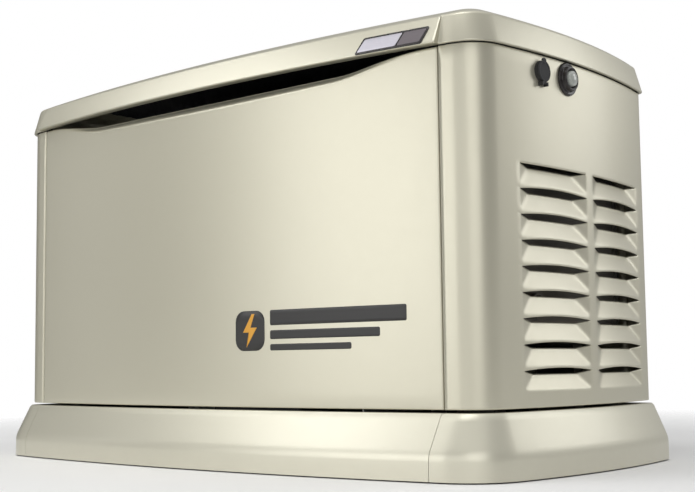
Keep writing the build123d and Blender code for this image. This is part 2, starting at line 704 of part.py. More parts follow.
def alternator_end_bell():
    bell = on_crank(250, 282, 120) - on_crank(249, 274, 108)
    bell = bell + on_crank(268, 300, 40)
    vents = [Plane(origin=(278, CRANK_Y, CRANK_Z), z_dir=(1, 0, 0)) * (
        Rot(0, 0, 45 * i) * (Pos(75, 0, 0) * Box(44, 24, 20))) for i in range(8)]
    return bell - vents - on_crank(240, 294, SHAFT_R + FIT)


def exhaust_pipes():
    muffler_x = MUFFLER[0]
    parts = []
    rear = rod((REAR_CYL_X + 53, REAR_PIPE_Y, PIPE_Z), (muffler_x, REAR_PIPE_Y, PIPE_Z), PIPE_R)
    rear -= rod((REAR_CYL_X + 53, REAR_PIPE_Y, PIPE_Z), (muffler_x, REAR_PIPE_Y, PIPE_Z), PIPE_R - 2)
    start_y = CRANK_Y - PORT_R * math.sin(math.radians(45))
    path = FilletPolyline((FRONT_CYL_X + 53, start_y, PIPE_Z), (-70, start_y, PIPE_Z),
                          (-50, FRONT_PIPE_Y, PIPE_Z), (muffler_x, FRONT_PIPE_Y, PIPE_Z), radius=50)
    ring = Plane(origin=path @ 0, z_dir=path % 0) * (Circle(PIPE_R) - Circle(PIPE_R - 2))
    front = sweep(ring, path=path)
    for x, y, pipe in ((REAR_CYL_X + 53, REAR_PIPE_Y, rear), (FRONT_CYL_X + 53, start_y, front)):
        flange = rod((x, y, PIPE_Z), (x + 8, y, PIPE_Z), 27) - rod((x, y, PIPE_Z), (x + 8, y, PIPE_Z), PIPE_R - 2)
        parts.append(pipe + flange)
    return Compound(children=parts)


MUFFLER = (350.0, 525.0, -130.0, 230.0, 200.0, 520.0)


def muffler():
    x0, x1, y0, y1, z0, z1 = MUFFLER
    wall = 3.0
    can = fillet(block(x0, x1, y0, y1, z0, z1).edges().filter_by(Axis.Y), 60)
    for y in (y0 + 15, y1 - 15):
        can += fillet(block(x0 - 4, x1 + 4, y - 3, y + 3, z0 - 4, z1 + 4).edges().filter_by(Axis.Y), 62)
    can += rod((x1 - 60, -60, z0 + 60), (x1 + 20, -60, z0 + 60), 20)
    hollow = block(x0 + wall, x1 - wall, y0 + wall, y1 - wall, z0 + wall, z1 - wall)
    can -= fillet(hollow.edges().filter_by(Axis.Y), 60 - wall)
    can -= rod((x1 - 60, -60, z0 + 60), (x1 + 21, -60, z0 + 60), 17)
    for y in (FRONT_PIPE_Y, REAR_PIPE_Y):
        can -= rod((x0 - 5, y, PIPE_Z), (x0 + 5, y, PIPE_Z), PIPE_R - 2)
    for y in (y0 + 60, y1 - 60):
        can += block(400, 475, y - 15, y + 15, TRAY_FLOOR, z0 + 1)
    return can


TRAY_FLOOR = 6.0


def fuel_regulator():
    body = fillet(block(60, 150, 175, 255, 100, 200).edges().filter_by(Axis.Z), 10)
    body += rod((FUEL_X, 215, 200), (FUEL_X, 215, 212), 36)
    body += rod((60, 215, 150), (20, 215, 150), 12)
    return body + block(75, 135, 185, 245, TRAY_FLOOR, 100)


def fuel_inlet_pipe():
    pipe = rod((FUEL_X, 255, FUEL_Z), (FUEL_X, 312, FUEL_Z), 17.5)
    hexagon = Plane(origin=(FUEL_X, 292, FUEL_Z), z_dir=(0, 1, 0)) * extrude(RegularPolygon(21, 6), 14)
    return pipe + hexagon - rod((FUEL_X, 287, FUEL_Z), (FUEL_X, 313, FUEL_Z), 12.1)


# ---- controls ----

FACE_THICK = 3.0


def face_plane():
    return Plane(origin=(0, BOX_Y1, BOX_Z1), x_dir=(1, 0, 0),
                 z_dir=(0, -math.sin(math.radians(FACE_TILT)), math.cos(math.radians(FACE_TILT))))


def control_box():
    wall = 2.0
    box = block(BOX_X0, BOX_X1, BOX_Y0, BOX_Y1, BOX_Z0, FAR)
    cavity = block(BOX_X0 + wall, BOX_X1 - wall, BOX_Y0 + wall, BOX_Y1 - wall, BOX_Z0 + wall, FAR)
    box = box - (face_plane() * (Pos(145, 0, 200) * Box(900, 900, 400)))
    box -= cavity
    # A bracket on the divider side and the breaker's neck below carry the box
    box += block(BOX_X1 - 1, DIVIDER_X, -180, -100, BOX_Z0 + 20, BOX_Z0 + 24)
    return box


BUTTON_V = -70.0


def control_face():
    width = BOX_X1 - BOX_X0
    depth = (BOX_Y1 - BOX_Y0) / math.cos(math.radians(FACE_TILT))
    mid_x = (BOX_X0 + BOX_X1) / 2
    plate = Pos(mid_x, -depth / 2, FACE_THICK / 2) * Box(width, depth, FACE_THICK)
    plate = fillet(plate.edges().filter_by(Axis.Z), 6)
    plate += Pos(70, -60, FACE_THICK + 1) * Box(110, 52, 2)
    plate -= Pos(70, -60, FACE_THICK + 1.5) * Box(96, 38, 1)
    for x in BUTTON_XS.values():
        plate += Pos(x, BUTTON_V, FACE_THICK) * Cylinder(12, 2)
        plate -= Pos(x, BUTTON_V, 0) * Cylinder(BUTTON_R + 0.3, 20)
    return face_plane() * plate


def mode_button(x):
    cap = Pos(x, BUTTON_V, -3) * Cylinder(BUTTON_R, 10, align=(Align.CENTER, Align.CENTER, Align.MIN))
    cap = fillet(cap.faces().sort_by(Axis.Z)[-1].edges(), 1.2)
    return face_plane() * cap


BREAKER = (222.0, 302.0, -215.0, -130.0, 300.0, 440.0)
LEVER_X = 262.0
LEVER_Z = 385.0


def circuit_breaker():
    x0, x1, y0, y1, z0, z1 = BREAKER
    body = chamfer(block(x0, x1, y0, y1, z0, z1).edges().filter_by(Axis.X), 4)
    body += block(x0 + 10, x1 - 10, y0 + 10, y1 - 10, z1 - 2, BOX_Z0)
    body -= block(LEVER_X - 9, LEVER_X + 9, y0 - 1, y0 + 30, LEVER_Z - 30, LEVER_Z + 30)
    pin = rod((LEVER_X - 9, y0 + 14, LEVER_Z), (LEVER_X + 9, y0 + 14, LEVER_Z), 2.5)
    return body + pin


def breaker_lever():
    y = BREAKER[2] + 14
    hub = rod((LEVER_X - 8, y, LEVER_Z), (LEVER_X + 8, y, LEVER_Z), 9)
    arm = Plane(origin=(LEVER_X, y, LEVER_Z), x_dir=(1, 0, 0), z_dir=(0, -0.94, 0.342))
    lever = hub + arm * (Pos(0, 0, 14) * Box(12, 8, 28))
    return lever - rod((LEVER_X - 9, y, LEVER_Z), (LEVER_X + 9, y, LEVER_Z), 2.5 + FIT)


BATTERY = (-8.0, 200.0, -239.0, -66.0, TRAY_FLOOR, 204.0)
POST_X = {"positive": 22.0, "negative": 170.0}
POST_Y = -100.0


def battery():
    x0, x1, y0, y1, z0, z1 = BATTERY
    case = fillet(block(x0, x1, y0, y1, z0, z1 - 20).edges().filter_by(Axis.Z), 6)
    case += fillet(block(x0 - 2, x1 + 2, y0, y1 + 1, z1 - 38, z1 - 12).edges().filter_by(Axis.Z), 6)
    case += fillet(block(x0 + 4, x1 - 4, y0 + 4, y1 - 4, z1 - 20, z1).edges().filter_by(Axis.Z), 6)
    for x in POST_X.values():
        case += rod((x, POST_Y, z1), (x, POST_Y, z1 + 15), 9)
    return case


CABLE_R = 5.0


def battery_cables():
    top = BATTERY[5] + 15
    routes = {
        "positive": [(POST_X["positive"], POST_Y, top + 8), (-30, -105, top + 12), (-85, -118, top + 2),
                     (-128, -104, 205), (-160, -104, 205)],
        "negative": [(POST_X["negative"], POST_Y, top + 8), (120, -97, top + 22), (60, -92, top + 27),
                     (0, -88, top + 22), (-50, -80, top + 8)],
    }
    cables = []
    for name, points in routes.items():
        radii = []
        for a, b, c in zip(points, points[1:], points[2:]):
            run1, run2 = Vector(*b) - Vector(*a), Vector(*c) - Vector(*b)
            turn = math.radians(run1.get_angle(run2))
            radii.append(0.45 * min(run1.length, run2.length) / math.tan(turn / 2))
        path = FilletPolyline(*points, radius=radii)
        cable = sweep(Plane(origin=path @ 0, z_dir=path % 0) * Circle(CABLE_R), path=path)
        print(name, "cable length", round(path.length), "volume ratio",
              round(cable.volume / (math.pi * CABLE_R ** 2 * path.length), 4))
        x = POST_X[name]
        lug = rod((x, POST_Y, top), (x, POST_Y, top + 14), 9)
        cables.append(cable + lug)
    return Compound(children=cables)


# ---- whole machine ----

def build_parts():
    right_end = end_panel(True)
    housing = lock_housing()
    parts = {
        "base_tray": base_tray(),
        **fascias(),
        "right_end_panel": right_end,
        "left_end_panel": flip(end_panel(False)),
        "rear_panel": rear_panel(),
        "muffler_divider": muffler_divider(),
        "panel_screws": panel_screws(),
        "hinge_brackets": hinge_brackets(),
        "lid_seal": lid_seal(),
        "lock_housings": Compound(children=[housing, flip(housing)]),
        "shutdown_bezel": shutdown_bezel(),
        "stay_bracket": stay_bracket(),
        "engine_cradle": engine_cradle(),
        "rubber_mounts": rubber_mounts(),
        "crankcase": crankcase(),
        "cylinder_front": cylinder(-45, FRONT_CYL_X),
        "cylinder_rear": cylinder(45, REAR_CYL_X),
        "valve_covers": valve_covers(),
        "spark_plugs": spark_plugs(),
        "intake_manifold": intake_manifold(),
        "airbox": airbox(),
        "air_filter": air_filter(),
        "airbox_cover": airbox_cover(),
        "oil_filter": oil_filter(),
        "starter_motor": starter_motor(),
        "blower_housing": blower_housing(),
        "alternator_housing": alternator_housing(),
        "alternator_end_bell": alternator_end_bell(),
        "exhaust_pipes": exhaust_pipes(),
        "muffler": muffler(),
        "fuel_regulator": fuel_regulator(),
        "fuel_inlet_pipe": fuel_inlet_pipe(),
        "control_box": control_box(),
        "control_face": control_face(),
        "circuit_breaker": circuit_breaker(),
        "battery": battery(),
        "battery_cables": battery_cables(),
        "lid": lid(),
        "lid_liner": lid_liner(),
        "lid_badge": lid_badge(),
        "lid_hinge_leaves": lid_hinge_leaves(),
        "lock_keepers": lock_keepers(),
        "front_panel": front_panel(),
        "front_panel_liner": front_panel_liner(),
        "lid_stay": lid_stay(),
        "right_lock_core": lock_core(),
        "left_lock_core": flip(lock_core()),
        "right_lock_cover": lock_cover(),
        "left_lock_cover": flip(lock_cover()),
        "shutdown_button": shutdown_button(),
        "crankshaft": crankshaft(),
        "flywheel_fan": flywheel_fan(),
        "breaker_lever": breaker_lever(),
        "dipstick": dipstick(),
    }
    for name, x in BUTTON_XS.items():
        parts[name] = mode_button(x)
    return parts


os.makedirs("parts", exist_ok=True)
for name, part in build_parts().items():
    export_step(part, f"parts/{name}.step")
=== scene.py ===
import json
import math

import bmesh
import bpy
from mathutils import Matrix, Vector


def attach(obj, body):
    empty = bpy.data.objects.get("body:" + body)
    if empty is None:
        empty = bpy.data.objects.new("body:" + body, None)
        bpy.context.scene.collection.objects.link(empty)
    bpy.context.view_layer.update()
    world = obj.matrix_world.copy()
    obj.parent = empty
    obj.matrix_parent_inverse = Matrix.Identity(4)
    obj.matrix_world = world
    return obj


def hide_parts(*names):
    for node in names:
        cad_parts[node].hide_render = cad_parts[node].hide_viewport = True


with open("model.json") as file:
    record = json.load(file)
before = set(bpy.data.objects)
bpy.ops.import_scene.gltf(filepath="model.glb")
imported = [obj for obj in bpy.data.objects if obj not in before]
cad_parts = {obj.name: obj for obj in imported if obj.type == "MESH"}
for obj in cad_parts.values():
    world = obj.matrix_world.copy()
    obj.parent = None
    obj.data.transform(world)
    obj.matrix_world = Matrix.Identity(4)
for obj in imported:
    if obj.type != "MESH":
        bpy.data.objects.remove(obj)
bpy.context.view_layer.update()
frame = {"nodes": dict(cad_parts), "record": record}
cadNodes = frame["nodes"]
mm = 0.001


# camera and light

view = {
    "place": (1.6058, -1.7338, 0.1716),
    "turn": 41.03,       # degrees left of +Y
    "tip": 5.41,         # degrees above level
    "roll": -0.69,
    "lens": 64.9,
}


def makeCamera():
    turn, tip, roll = (math.radians(view[k]) for k in ("turn", "tip", "roll"))
    ahead = Vector((-math.sin(turn) * math.cos(tip), math.cos(turn) * math.cos(tip), math.sin(tip)))
    level = Vector((math.cos(turn), math.sin(turn), 0))
    above = level.cross(ahead)
    right = math.cos(roll) * level + math.sin(roll) * above
    up = math.cos(roll) * above - math.sin(roll) * level
    data = bpy.data.cameras.new("camera")
    data.lens = view["lens"]
    data.sensor_width = 36
    camera = bpy.data.objects.new("camera", data)
    place = Matrix((right, up, -ahead)).transposed().to_4x4()
    place.translation = Vector(view["place"])
    camera.matrix_world = place
    bpy.context.scene.collection.objects.link(camera)
    bpy.context.scene.camera = camera


studio = {
    "backdrop": 1.0,     # what the camera sees behind the object
    "ambient": 0.07,     # soft light from everywhere
    "behind": 0.36,      # extra light from behind and from the right
    "overhead": 1.0,     # extra light from straight above
    "lights": [
        # name, place, aim, width, height, watts
        ("keyOverhead", (0.35, -1.3, 3.2), (0.0, -0.1, 0.35), 1.6, 1.0, 18),
        ("frontSoftbox", (-1.33, -3.5, 0.95), (0.1, -0.25, 0.30), 1.85, 1.8, 29),
        ("slopeSoftbox", (-1.7, -2.3, 2.3), (0.15, -0.28, 0.3), 1.2, 0.9, 8),
        ("lidSoftbox", (-1.8, -1.45, 2.6), (0.15, -0.28, 0.5), 1.9, 1.2, 15),
        ("rightSoftbox", (2.5, 3.0, 1.9), (0.58, 0.0, 0.5), 1.8, 2.0, 22),
        ("middleSoftbox", (1.0, -3.9, 1.0), (0.45, -0.27, 0.33), 1.7, 1.8, 11),
        ("cornerSoftbox", (2.95, -2.75, 1.3), (0.55, -0.25, 0.35), 2.5, 2.2, 33),
        ("leftSoftbox", (-3.6, -1.9, 1.0), (-0.5, -0.1, 0.35), 0.8, 2.0, 4),
    ],
}


def makeLights():
    world = bpy.data.worlds.new("studio")
    world.use_nodes = True
    tree = world.node_tree
    room, out = tree.nodes["Background"], tree.nodes["World Output"]
    way = tree.nodes.new("ShaderNodeSeparateXYZ")
    tree.links.new(tree.nodes.new("ShaderNodeTexCoord").outputs["Generated"], way.inputs[0])
    side = Wire(tree, way.outputs[0]) * 0.45 + Wire(tree, way.outputs[1]) * 0.9
    above = Wire(tree, way.outputs[2]).clamped() ** 4 * studio["overhead"]
    plug(tree, room.inputs["Strength"], side.clamped() * studio["behind"] + above + studio["ambient"])
    wall = tree.nodes.new("ShaderNodeBackground")
    wall.inputs["Strength"].default_value = studio["backdrop"]
    for shade in (room, wall):
        shade.inputs["Color"].default_value = (1, 1, 1, 1)
    pick = tree.nodes.new("ShaderNodeMixShader")
    tree.links.new(tree.nodes.new("ShaderNodeLightPath").outputs["Is Camera Ray"], pick.inputs[0])
    tree.links.new(room.outputs[0], pick.inputs[1])
    tree.links.new(wall.outputs[0], pick.inputs[2])
    tree.links.new(pick.outputs[0], out.inputs[0])
    scene = bpy.context.scene
    scene.world = world
    scene.view_settings.view_transform = "Standard"
    for name, place, aim, width, height, watts in studio["lights"]:
        data = bpy.data.lights.new(name, "AREA")
        data.shape = "RECTANGLE"
        data.size, data.size_y = width, height
        data.energy = watts
        lamp = bpy.data.objects.new(name, data)
        lamp.location = place
        lamp.rotation_euler = (Vector(aim) - Vector(place)).to_track_quat("-Z", "Y").to_euler()
        scene.collection.objects.link(lamp)


# shader tools

class Wire:
    # one output socket, with the maths that the finishes use
    def __init__(self, tree, socket):
        self.tree = tree
        self.socket = socket

    def math(self, operation, other=None, flip=False):
        node = self.tree.nodes.new("ShaderNodeMath")
        node.operation = operation
        pair = [other, self] if flip else [self, other]
        for slot, value in zip(node.inputs, pair):
            plug(self.tree, slot, value)
        return Wire(self.tree, node.outputs[0])

    def __add__(self, other):
        return self.math("ADD", other)

    __radd__ = __add__

    def __sub__(self, other):
        return self.math("SUBTRACT", other)

    def __rsub__(self, other):
        return self.math("SUBTRACT", other, flip=True)

    def __mul__(self, other):
        return self.math("MULTIPLY", other)

    __rmul__ = __mul__

    def __truediv__(self, other):
        return self.math("DIVIDE", other)

    def __rtruediv__(self, other):
        return self.math("DIVIDE", other, flip=True)

    def __pow__(self, other):
        return self.math("POWER", other)

    def clamped(self):
        node = self.tree.nodes.new("ShaderNodeClamp")
        plug(self.tree, node.inputs[0], self)
        return Wire(self.tree, node.outputs[0])


def plug(tree, slot, value):
    if value is None:
        return
    if isinstance(value, Wire):
        tree.links.new(value.socket, slot)
    elif isinstance(value, (tuple, list)) and len(value) == 3 and slot.type == "RGBA":
        slot.default_value = (*value, 1)
    else:
        slot.default_value = value


class Bench:
    # puts nodes on a tree: type, settings, then the values or links of its sockets
    def make(self, kind, settings=None, inputs=None, output=0):
        node = self.tree.nodes.new(kind)
        for key, value in (settings or {}).items():
            if key == "stops":
                ramp = node.color_ramp
                while len(ramp.elements) < len(value):
                    ramp.elements.new(0.5)
                for element, (at, color) in zip(ramp.elements, value):
                    element.position = at
                    element.color = (*color, 1)
            else:
                setattr(node, key, value)
        for key, value in (inputs or {}).items():
            plug(self.tree, node.inputs[key], value)
        return Wire(self.tree, node.outputs[output])


class Finish(Bench):
    def __init__(self, name):
        self.material = bpy.data.materials.new(name)
        self.material.use_nodes = True
        self.tree = self.material.node_tree
        self.shader = self.tree.nodes["Principled BSDF"]
        self.place = self.make("ShaderNodeTexCoord", output="Object")

    def noise(self, scale, detail=2.0, rough=0.5, stretch=None):
        place = self.place
        if stretch:
            place = self.make("ShaderNodeMapping", None, {"Vector": place, "Scale": stretch})
        return self.make("ShaderNodeTexNoise", None,
                {"Vector": place, "Scale": scale, "Detail": detail, "Roughness": rough})

    def cells(self, scale, feature="F1"):
        return self.make("ShaderNodeTexVoronoi", {"feature": feature}, {"Vector": self.place, "Scale": scale})

    def heights(self):
        return self.make("ShaderNodeSeparateXYZ", None, {"Vector": self.place}, 2)

    def mixed(self, factor, first, second):
        node = self.tree.nodes.new("ShaderNodeMix")
        node.data_type = "RGBA"
        plug(self.tree, node.inputs[0], factor)
        plug(self.tree, node.inputs[6], first)
        plug(self.tree, node.inputs[7], second)
        return Wire(self.tree, node.outputs[2])

    def bump(self, height, strength, distance, under=None):
        return self.make("ShaderNodeBump", None,
                {"Height": height, "Strength": strength, "Distance": distance, "Normal": under})

    def set(self, **inputs):
        for key, value in inputs.items():
            plug(self.tree, self.shader.inputs[key.replace("_", " ")], value)
        return self.material


# finishes

paintLook = {
    "cabinet": (0.632, 0.606, 0.484),
    "lid": (0.640, 0.616, 0.496),
    "base": (0.668, 0.646, 0.530),
    "roughness": 0.35,
    "flake": 0.52,       # metallic share, for the satin sheen
    "peelScale": 520,
    "peelDepth": 0.00005,
}


def powderCoat(name, color):
    f = Finish(name)
    cloud = f.noise(3.5, 3)
    speck = f.noise(1800, 1)
    shade = [c * 0.955 for c in color]
    tone = f.mixed((cloud * 0.6 + speck * 0.4).clamped(), shade, color)
    # darker in blotches towards the bottom, below about 70 mm, mixed towards a dark brown
    lowDarkening = (1 - f.heights() * 14).clamped() * f.noise(38, 5, 0.7)
    tone = f.mixed(lowDarkening * 0.16, tone, (0.40, 0.36, 0.29))
    peel = f.noise(paintLook["peelScale"], 2, 0.45) * 0.7 + f.cells(paintLook["peelScale"] * 0.6) * 0.3
    return f.set(Base_Color=tone, Roughness=paintLook["roughness"] + f.noise(90, 2) * 0.08,
                 Metallic=speck * 0.1 + paintLook["flake"],
                 Normal=f.bump(peel, 0.35, paintLook["peelDepth"]), Coat_Weight=0.3, Coat_Roughness=0.2)


def mouldedPlastic(name, color, roughness, grain, depth=0.00006):
    f = Finish(name)
    mottle = f.noise(grain * 0.08, 3)
    tone = f.mixed(mottle, [c * 0.8 for c in color], [min(1, c * 1.15 + 0.004) for c in color])
    texture = f.noise(grain, 3, 0.6)
    return f.set(Base_Color=tone, Roughness=roughness + f.noise(60, 2) * 0.12,
                 Normal=f.bump(texture, 0.5, depth))


def rubberFinish(name, color):
    f = Finish(name)
    bloom = f.noise(140, 4, 0.65)
    tone = f.mixed(bloom * 0.7, color, [c * 2.4 + 0.01 for c in color])
    return f.set(Base_Color=tone, Roughness=0.62 + bloom * 0.22, Normal=f.bump(f.noise(1500, 2), 0.4, 0.00008))


def textured(name, first, second, texture, roughness, swing, relief=None, tint=None, **more):
    # one texture drives roughness and relief, and the colour too unless tint is given
    f = Finish(name)
    grain = texture(f)
    tone = f.mixed(tint(f) if tint else grain, first, second)
    return f.set(Base_Color=tone, Roughness=roughness + grain * swing if swing else roughness,
                 Normal=f.bump(grain, *relief) if relief else None, **more)


def castFinish(name, color, metallic, roughness, grain=420):
    return textured(name, color, [c * 0.55 for c in color], lambda f: f.noise(grain, 5, 0.7), roughness, 0.2,
                    (0.6, 0.00025), lambda f: (f.noise(24, 4, 0.6) * 1.3 - 0.35).clamped(), Metallic=metallic)


def plateFinish(name, color, roughness, metallic):
    return textured(name, [c * 0.9 for c in color], [min(1, c * 1.08) for c in color],
                    lambda f: f.noise(800, 2, 0.6, (0.15, 1, 1)), roughness, 0.1, (0.15, 0.00003),
                    Metallic=metallic)


def printedInk(name, color):
    return textured(name, color, [c * 1.25 + 0.004 for c in color], lambda f: f.noise(1400, 3), 0.38, 0.1,
                    (0.2, 0.00002))


def heatTinted(name):
    f = Finish(name)
    tints = [(0.30, (0.27, 0.26, 0.25)), (0.50, (0.30, 0.28, 0.25)), (0.64, (0.26, 0.22, 0.18)),
             (0.80, (0.22, 0.22, 0.23))]
    tone = f.make("ShaderNodeValToRGB", {"stops": tints}, {"Fac": f.noise(3, 2, 0.4)})
    scale = f.noise(700, 3)
    return f.set(Base_Color=tone, Metallic=0.9, Roughness=0.42 + scale * 0.2, Normal=f.bump(scale, 0.3, 0.00008))


def pleats(f):
    return f.make("ShaderNodeTexWave", {"wave_type": "BANDS", "bands_direction": "X"},
                  {"Vector": f.place, "Scale": 60.0, "Distortion": 0.4, "Detail": 1.0})


# the record's material slots, then the finishes of a few small pieces
finishes = {
    "cabinet_paint": powderCoat("cabinetPowderCoat", paintLook["cabinet"]),
    "lid_paint": powderCoat("lidPowderCoat", paintLook["lid"]),
    "base_paint": powderCoat("basePowderCoat", paintLook["base"]),
    "tray_paint": mouldedPlastic("trayBlackPaint", (0.03, 0.03, 0.03), 0.5, 700),
    "zinc_steel": textured("zincPlate", (0.55, 0.56, 0.55), (0.66, 0.66, 0.63),
        lambda f: f.noise(300, 2, 0.6, (1, 1, 12)), 0.30, 0.22, (0.25, 0.00004),
        lambda f: f.cells(260), Metallic=1.0),
    "black_plastic": mouldedPlastic("texturedBlackPlastic", (0.020, 0.020, 0.021), 0.46, 1300),
    "gloss_black": mouldedPlastic("glossBlackPlastic", (0.022, 0.018, 0.018), 0.20, 500, 0.00002),
    "black_rubber": rubberFinish("blackRubber", (0.018, 0.018, 0.019)),
    "switch_lens": textured("smokyLens", (0.36, 0.38, 0.35), (0.50, 0.52, 0.48), lambda f: f.cells(420), 0.12, 0.1,
        (0.25, 0.0001), Coat_Weight=0.8, Coat_Roughness=0.05),
    "badge_plate": plateFinish("silverPlate", (0.60, 0.58, 0.64), 0.34, 0.6),
    # painted shade: the foam is darker in the cell pits that the same cells sink as relief
    "foam": textured("acousticFoam", (0.0245, 0.0245, 0.02625), (0.07, 0.07, 0.075), lambda f: f.cells(900),
        0.95, 0, (0.9, 0.0006)),
    "cast_aluminium": castFinish("castAluminium", (0.52, 0.52, 0.51), 0.9, 0.40),
    "engine_black": castFinish("satinBlackEngine", (0.035, 0.035, 0.036), 0.1, 0.38, 600),
    "cast_iron": castFinish("castIron", (0.13, 0.125, 0.12), 0.7, 0.55),
    "aluminised_steel": heatTinted("heatTintedSteel"),
    # painted shade: the paper is darker in the pleat valleys and lighter on the crests, from the bands that also
    # make the relief
    "filter_paper": textured("pleatedPaper", (0.52, 0.42, 0.22), (0.82, 0.74, 0.50), pleats,
                             0.85, 0, (0.8, 0.0015)),
    "can_paint": mouldedPlastic("whiteEnamel", (0.74, 0.74, 0.71), 0.22, 300, 0.00003),
    "lock_steel": textured("polishedLockSteel", (0.62, 0.62, 0.61), (0.78, 0.78, 0.77),
        lambda f: f.noise(900, 2, 0.5, (1, 8, 8)), 0.16, 0.14, None, lambda f: f.noise(40, 3),
        Metallic=1.0),
    "cable_jacket": rubberFinish("cableJacket", (0.20, 0.012, 0.010)),
    "button_green": mouldedPlastic("greenKey", (0.03, 0.32, 0.07), 0.28, 500),
    "button_red": mouldedPlastic("redKey", (0.50, 0.03, 0.025), 0.28, 500),
    "button_blue": mouldedPlastic("blueKey", (0.03, 0.11, 0.42), 0.28, 500),
    "dip_yellow": mouldedPlastic("yellowPlastic", (0.78, 0.50, 0.03), 0.35, 500),
    "battery_case": mouldedPlastic("batteryCase", (0.028, 0.028, 0.032), 0.42, 900),
    "darkPlate": plateFinish("darkPlate", (0.16, 0.14, 0.15), 0.36, 0.4),
    "charcoalInk": printedInk("charcoalInk", (0.020, 0.019, 0.018)),
    "amberInk": printedInk("amberInk", (0.62, 0.30, 0.03)),
    "screen": mouldedPlastic("screenGlass", (0.012, 0.020, 0.018), 0.08, 300, 0.00001),
    "glow": mouldedPlastic("screenLine", (0.20, 0.42, 0.30), 0.3, 300, 0.00001),
}


def dressCadNodes():
    for part in frame["record"]["subparts"]:
        thing = cadNodes[part["node"]]
        thing.data.materials.clear()
        thing.data.materials.append(finishes[part["material_slot"]])
    print("CAD pieces dressed")


# mesh tools

def settle(piece, body, replaced=(), wall=0.0, bevel=0.0):
    # the last steps of every piece: its wall and edges, then what it rides on and stands for
    if wall:
        piece.modifiers.new("wall", "SOLIDIFY").thickness = wall
    if bevel:
        edge = piece.modifiers.new("edge", "BEVEL")
        edge.width = bevel
        edge.segments = 2
        edge.limit_method = "ANGLE"
    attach(piece, body)
    if replaced:
        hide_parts(*replaced)


def finishMesh(name, build, body, slot, replaced=(), finish=None, outward=None, crease=34, wall=0.0, bevel=0.0):
    bmesh.ops.remove_doubles(build, verts=build.verts, dist=0.00002)
    bmesh.ops.dissolve_degenerate(build, edges=build.edges, dist=0.00001)
    bmesh.ops.recalc_face_normals(build, faces=build.faces)
    if outward is not None:
        lean = sum(f.normal.dot(outward(f.calc_center_median())) * f.calc_area() for f in build.faces)
        if lean < 0:
            bmesh.ops.reverse_faces(build, faces=build.faces)
    for face in build.faces:
        face.smooth = True
    for edge in build.edges:
        if len(edge.link_faces) == 2 and edge.calc_face_angle(0) > math.radians(crease):
            edge.smooth = False
    mesh = bpy.data.meshes.new(name)
    build.to_mesh(mesh)
    build.free()
    piece = bpy.data.objects.new(name, mesh)
    bpy.context.scene.collection.objects.link(piece)
    mesh.materials.append(finishes[finish or slot])
    settle(piece, body, replaced, wall, bevel)


def facing(*way):
    return lambda p: Vector(way)


def addGrid(build, rows, closed=False):
    made = [[build.verts.new(p) for p in row] for row in rows]
    for low, high in zip(made, made[1:]):
        count = len(low)
        for i in range(count if closed else count - 1):
            j = (i + 1) % count
            build.faces.new((low[i], low[j], high[j], high[i]))
    return made


def addSolid(build, rings):
    # closed rings joined to each other, with a face over the first and the last
    made = addGrid(build, rings, closed=True)
    build.faces.new(list(reversed(made[0])))
    build.faces.new(made[-1])


def lerp(a, b, t):
    return a + (b - a) * t


def span(a, b, steps):
    return [lerp(a, b, i / steps) for i in range(steps + 1)]


def roundedPath(corners, radii, steps=4, closed=False):
    # corner points of a profile, each turned into a short arc of its radius
    corners = [Vector(corner) for corner in corners]
    if closed:
        corners = [corners[-1], *corners, corners[0]]
    path = [corners[0]]
    for before, corner, after, radius in zip(corners, corners[1:], corners[2:], radii):
        back, ahead = (before - corner), (after - corner)
        half = back.angle(ahead) / 2
        reach = min(radius / math.tan(half), back.length * 0.49, ahead.length * 0.49)
        start, end = corner + back.normalized() * reach, corner + ahead.normalized() * reach
        path += [start * (1 - t) ** 2 + corner * 2 * t * (1 - t) + end * t ** 2 for t in span(0, 1, steps)]
    return path[1:] if closed else path + [corners[-1]]


# plan of the cabinet and of the base

cabinet = {
    "frontY": 276.5 * mm, "frontBow": 31.7 * mm, "endX": 580 * mm, "endBow": 30.7 * mm, "endHalf": 285 * mm,
    "rearY": 285 * mm, "seamX": 494 * mm, "cornerR": 57 * mm, "rearCornerR": 12 * mm,
}
footprint = {
    "frontY": 319 * mm, "frontBow": 34.2 * mm, "endX": 609 * mm, "endBow": 36 * mm, "endHalf": 319 * mm,
    "rearY": 319 * mm, "seamX": 494 * mm, "cornerR": 95 * mm, "rearCornerR": 44 * mm,
}


class Station:
    # a place on an outline: a point moved outwards by offset follows the arc's own radius
    def __init__(self, x, y, radius, angle):
        self.x, self.y, self.radius, self.angle = x, y, radius, angle

    def at(self, offset, z):
        reach = self.radius + offset
        return Vector((self.x + reach * math.cos(self.angle), self.y + reach * math.sin(self.angle), z))


def arcsOf(plan):
    frontR = (plan["seamX"] ** 2 + plan["frontBow"] ** 2) / (2 * plan["frontBow"])
    endR = (plan["endHalf"] ** 2 + plan["endBow"] ** 2) / (2 * plan["endBow"])
    frontC = Vector((0, frontR - plan["frontY"]))
    endC = Vector((plan["endX"] - endR, 0))
    r, rear = plan["cornerR"], plan["rearCornerR"]
    a, b = frontR - r, endR - r
    between = endC - frontC
    along = (a * a - b * b + between.length_squared) / (2 * between.length)
    across = math.sqrt(a * a - along * along)
    unit = between.normalized()
    corner = max((frontC + unit * along + Vector((-unit.y, unit.x)) * side * across for side in (-1, 1)),
                 key=lambda p: p.x - p.y)
    rearC = Vector((endC.x + math.sqrt((endR - rear) ** 2 - (plan["rearY"] - rear) ** 2), plan["rearY"] - rear))
    turns = [math.atan2(v.y, v.x) for v in (corner - frontC, corner - endC, rearC - endC)]
    # each arc as x, y and radius, then the angles where one runs into the next
    return {"front": (*frontC, frontR), "end": (*endC, endR), "corner": (*corner, r), "rear": (*rearC, rear),
            "turns": turns, "rearY": plan["rearY"]}


cabinetArcs = arcsOf(cabinet)
footArcs = arcsOf(footprint)


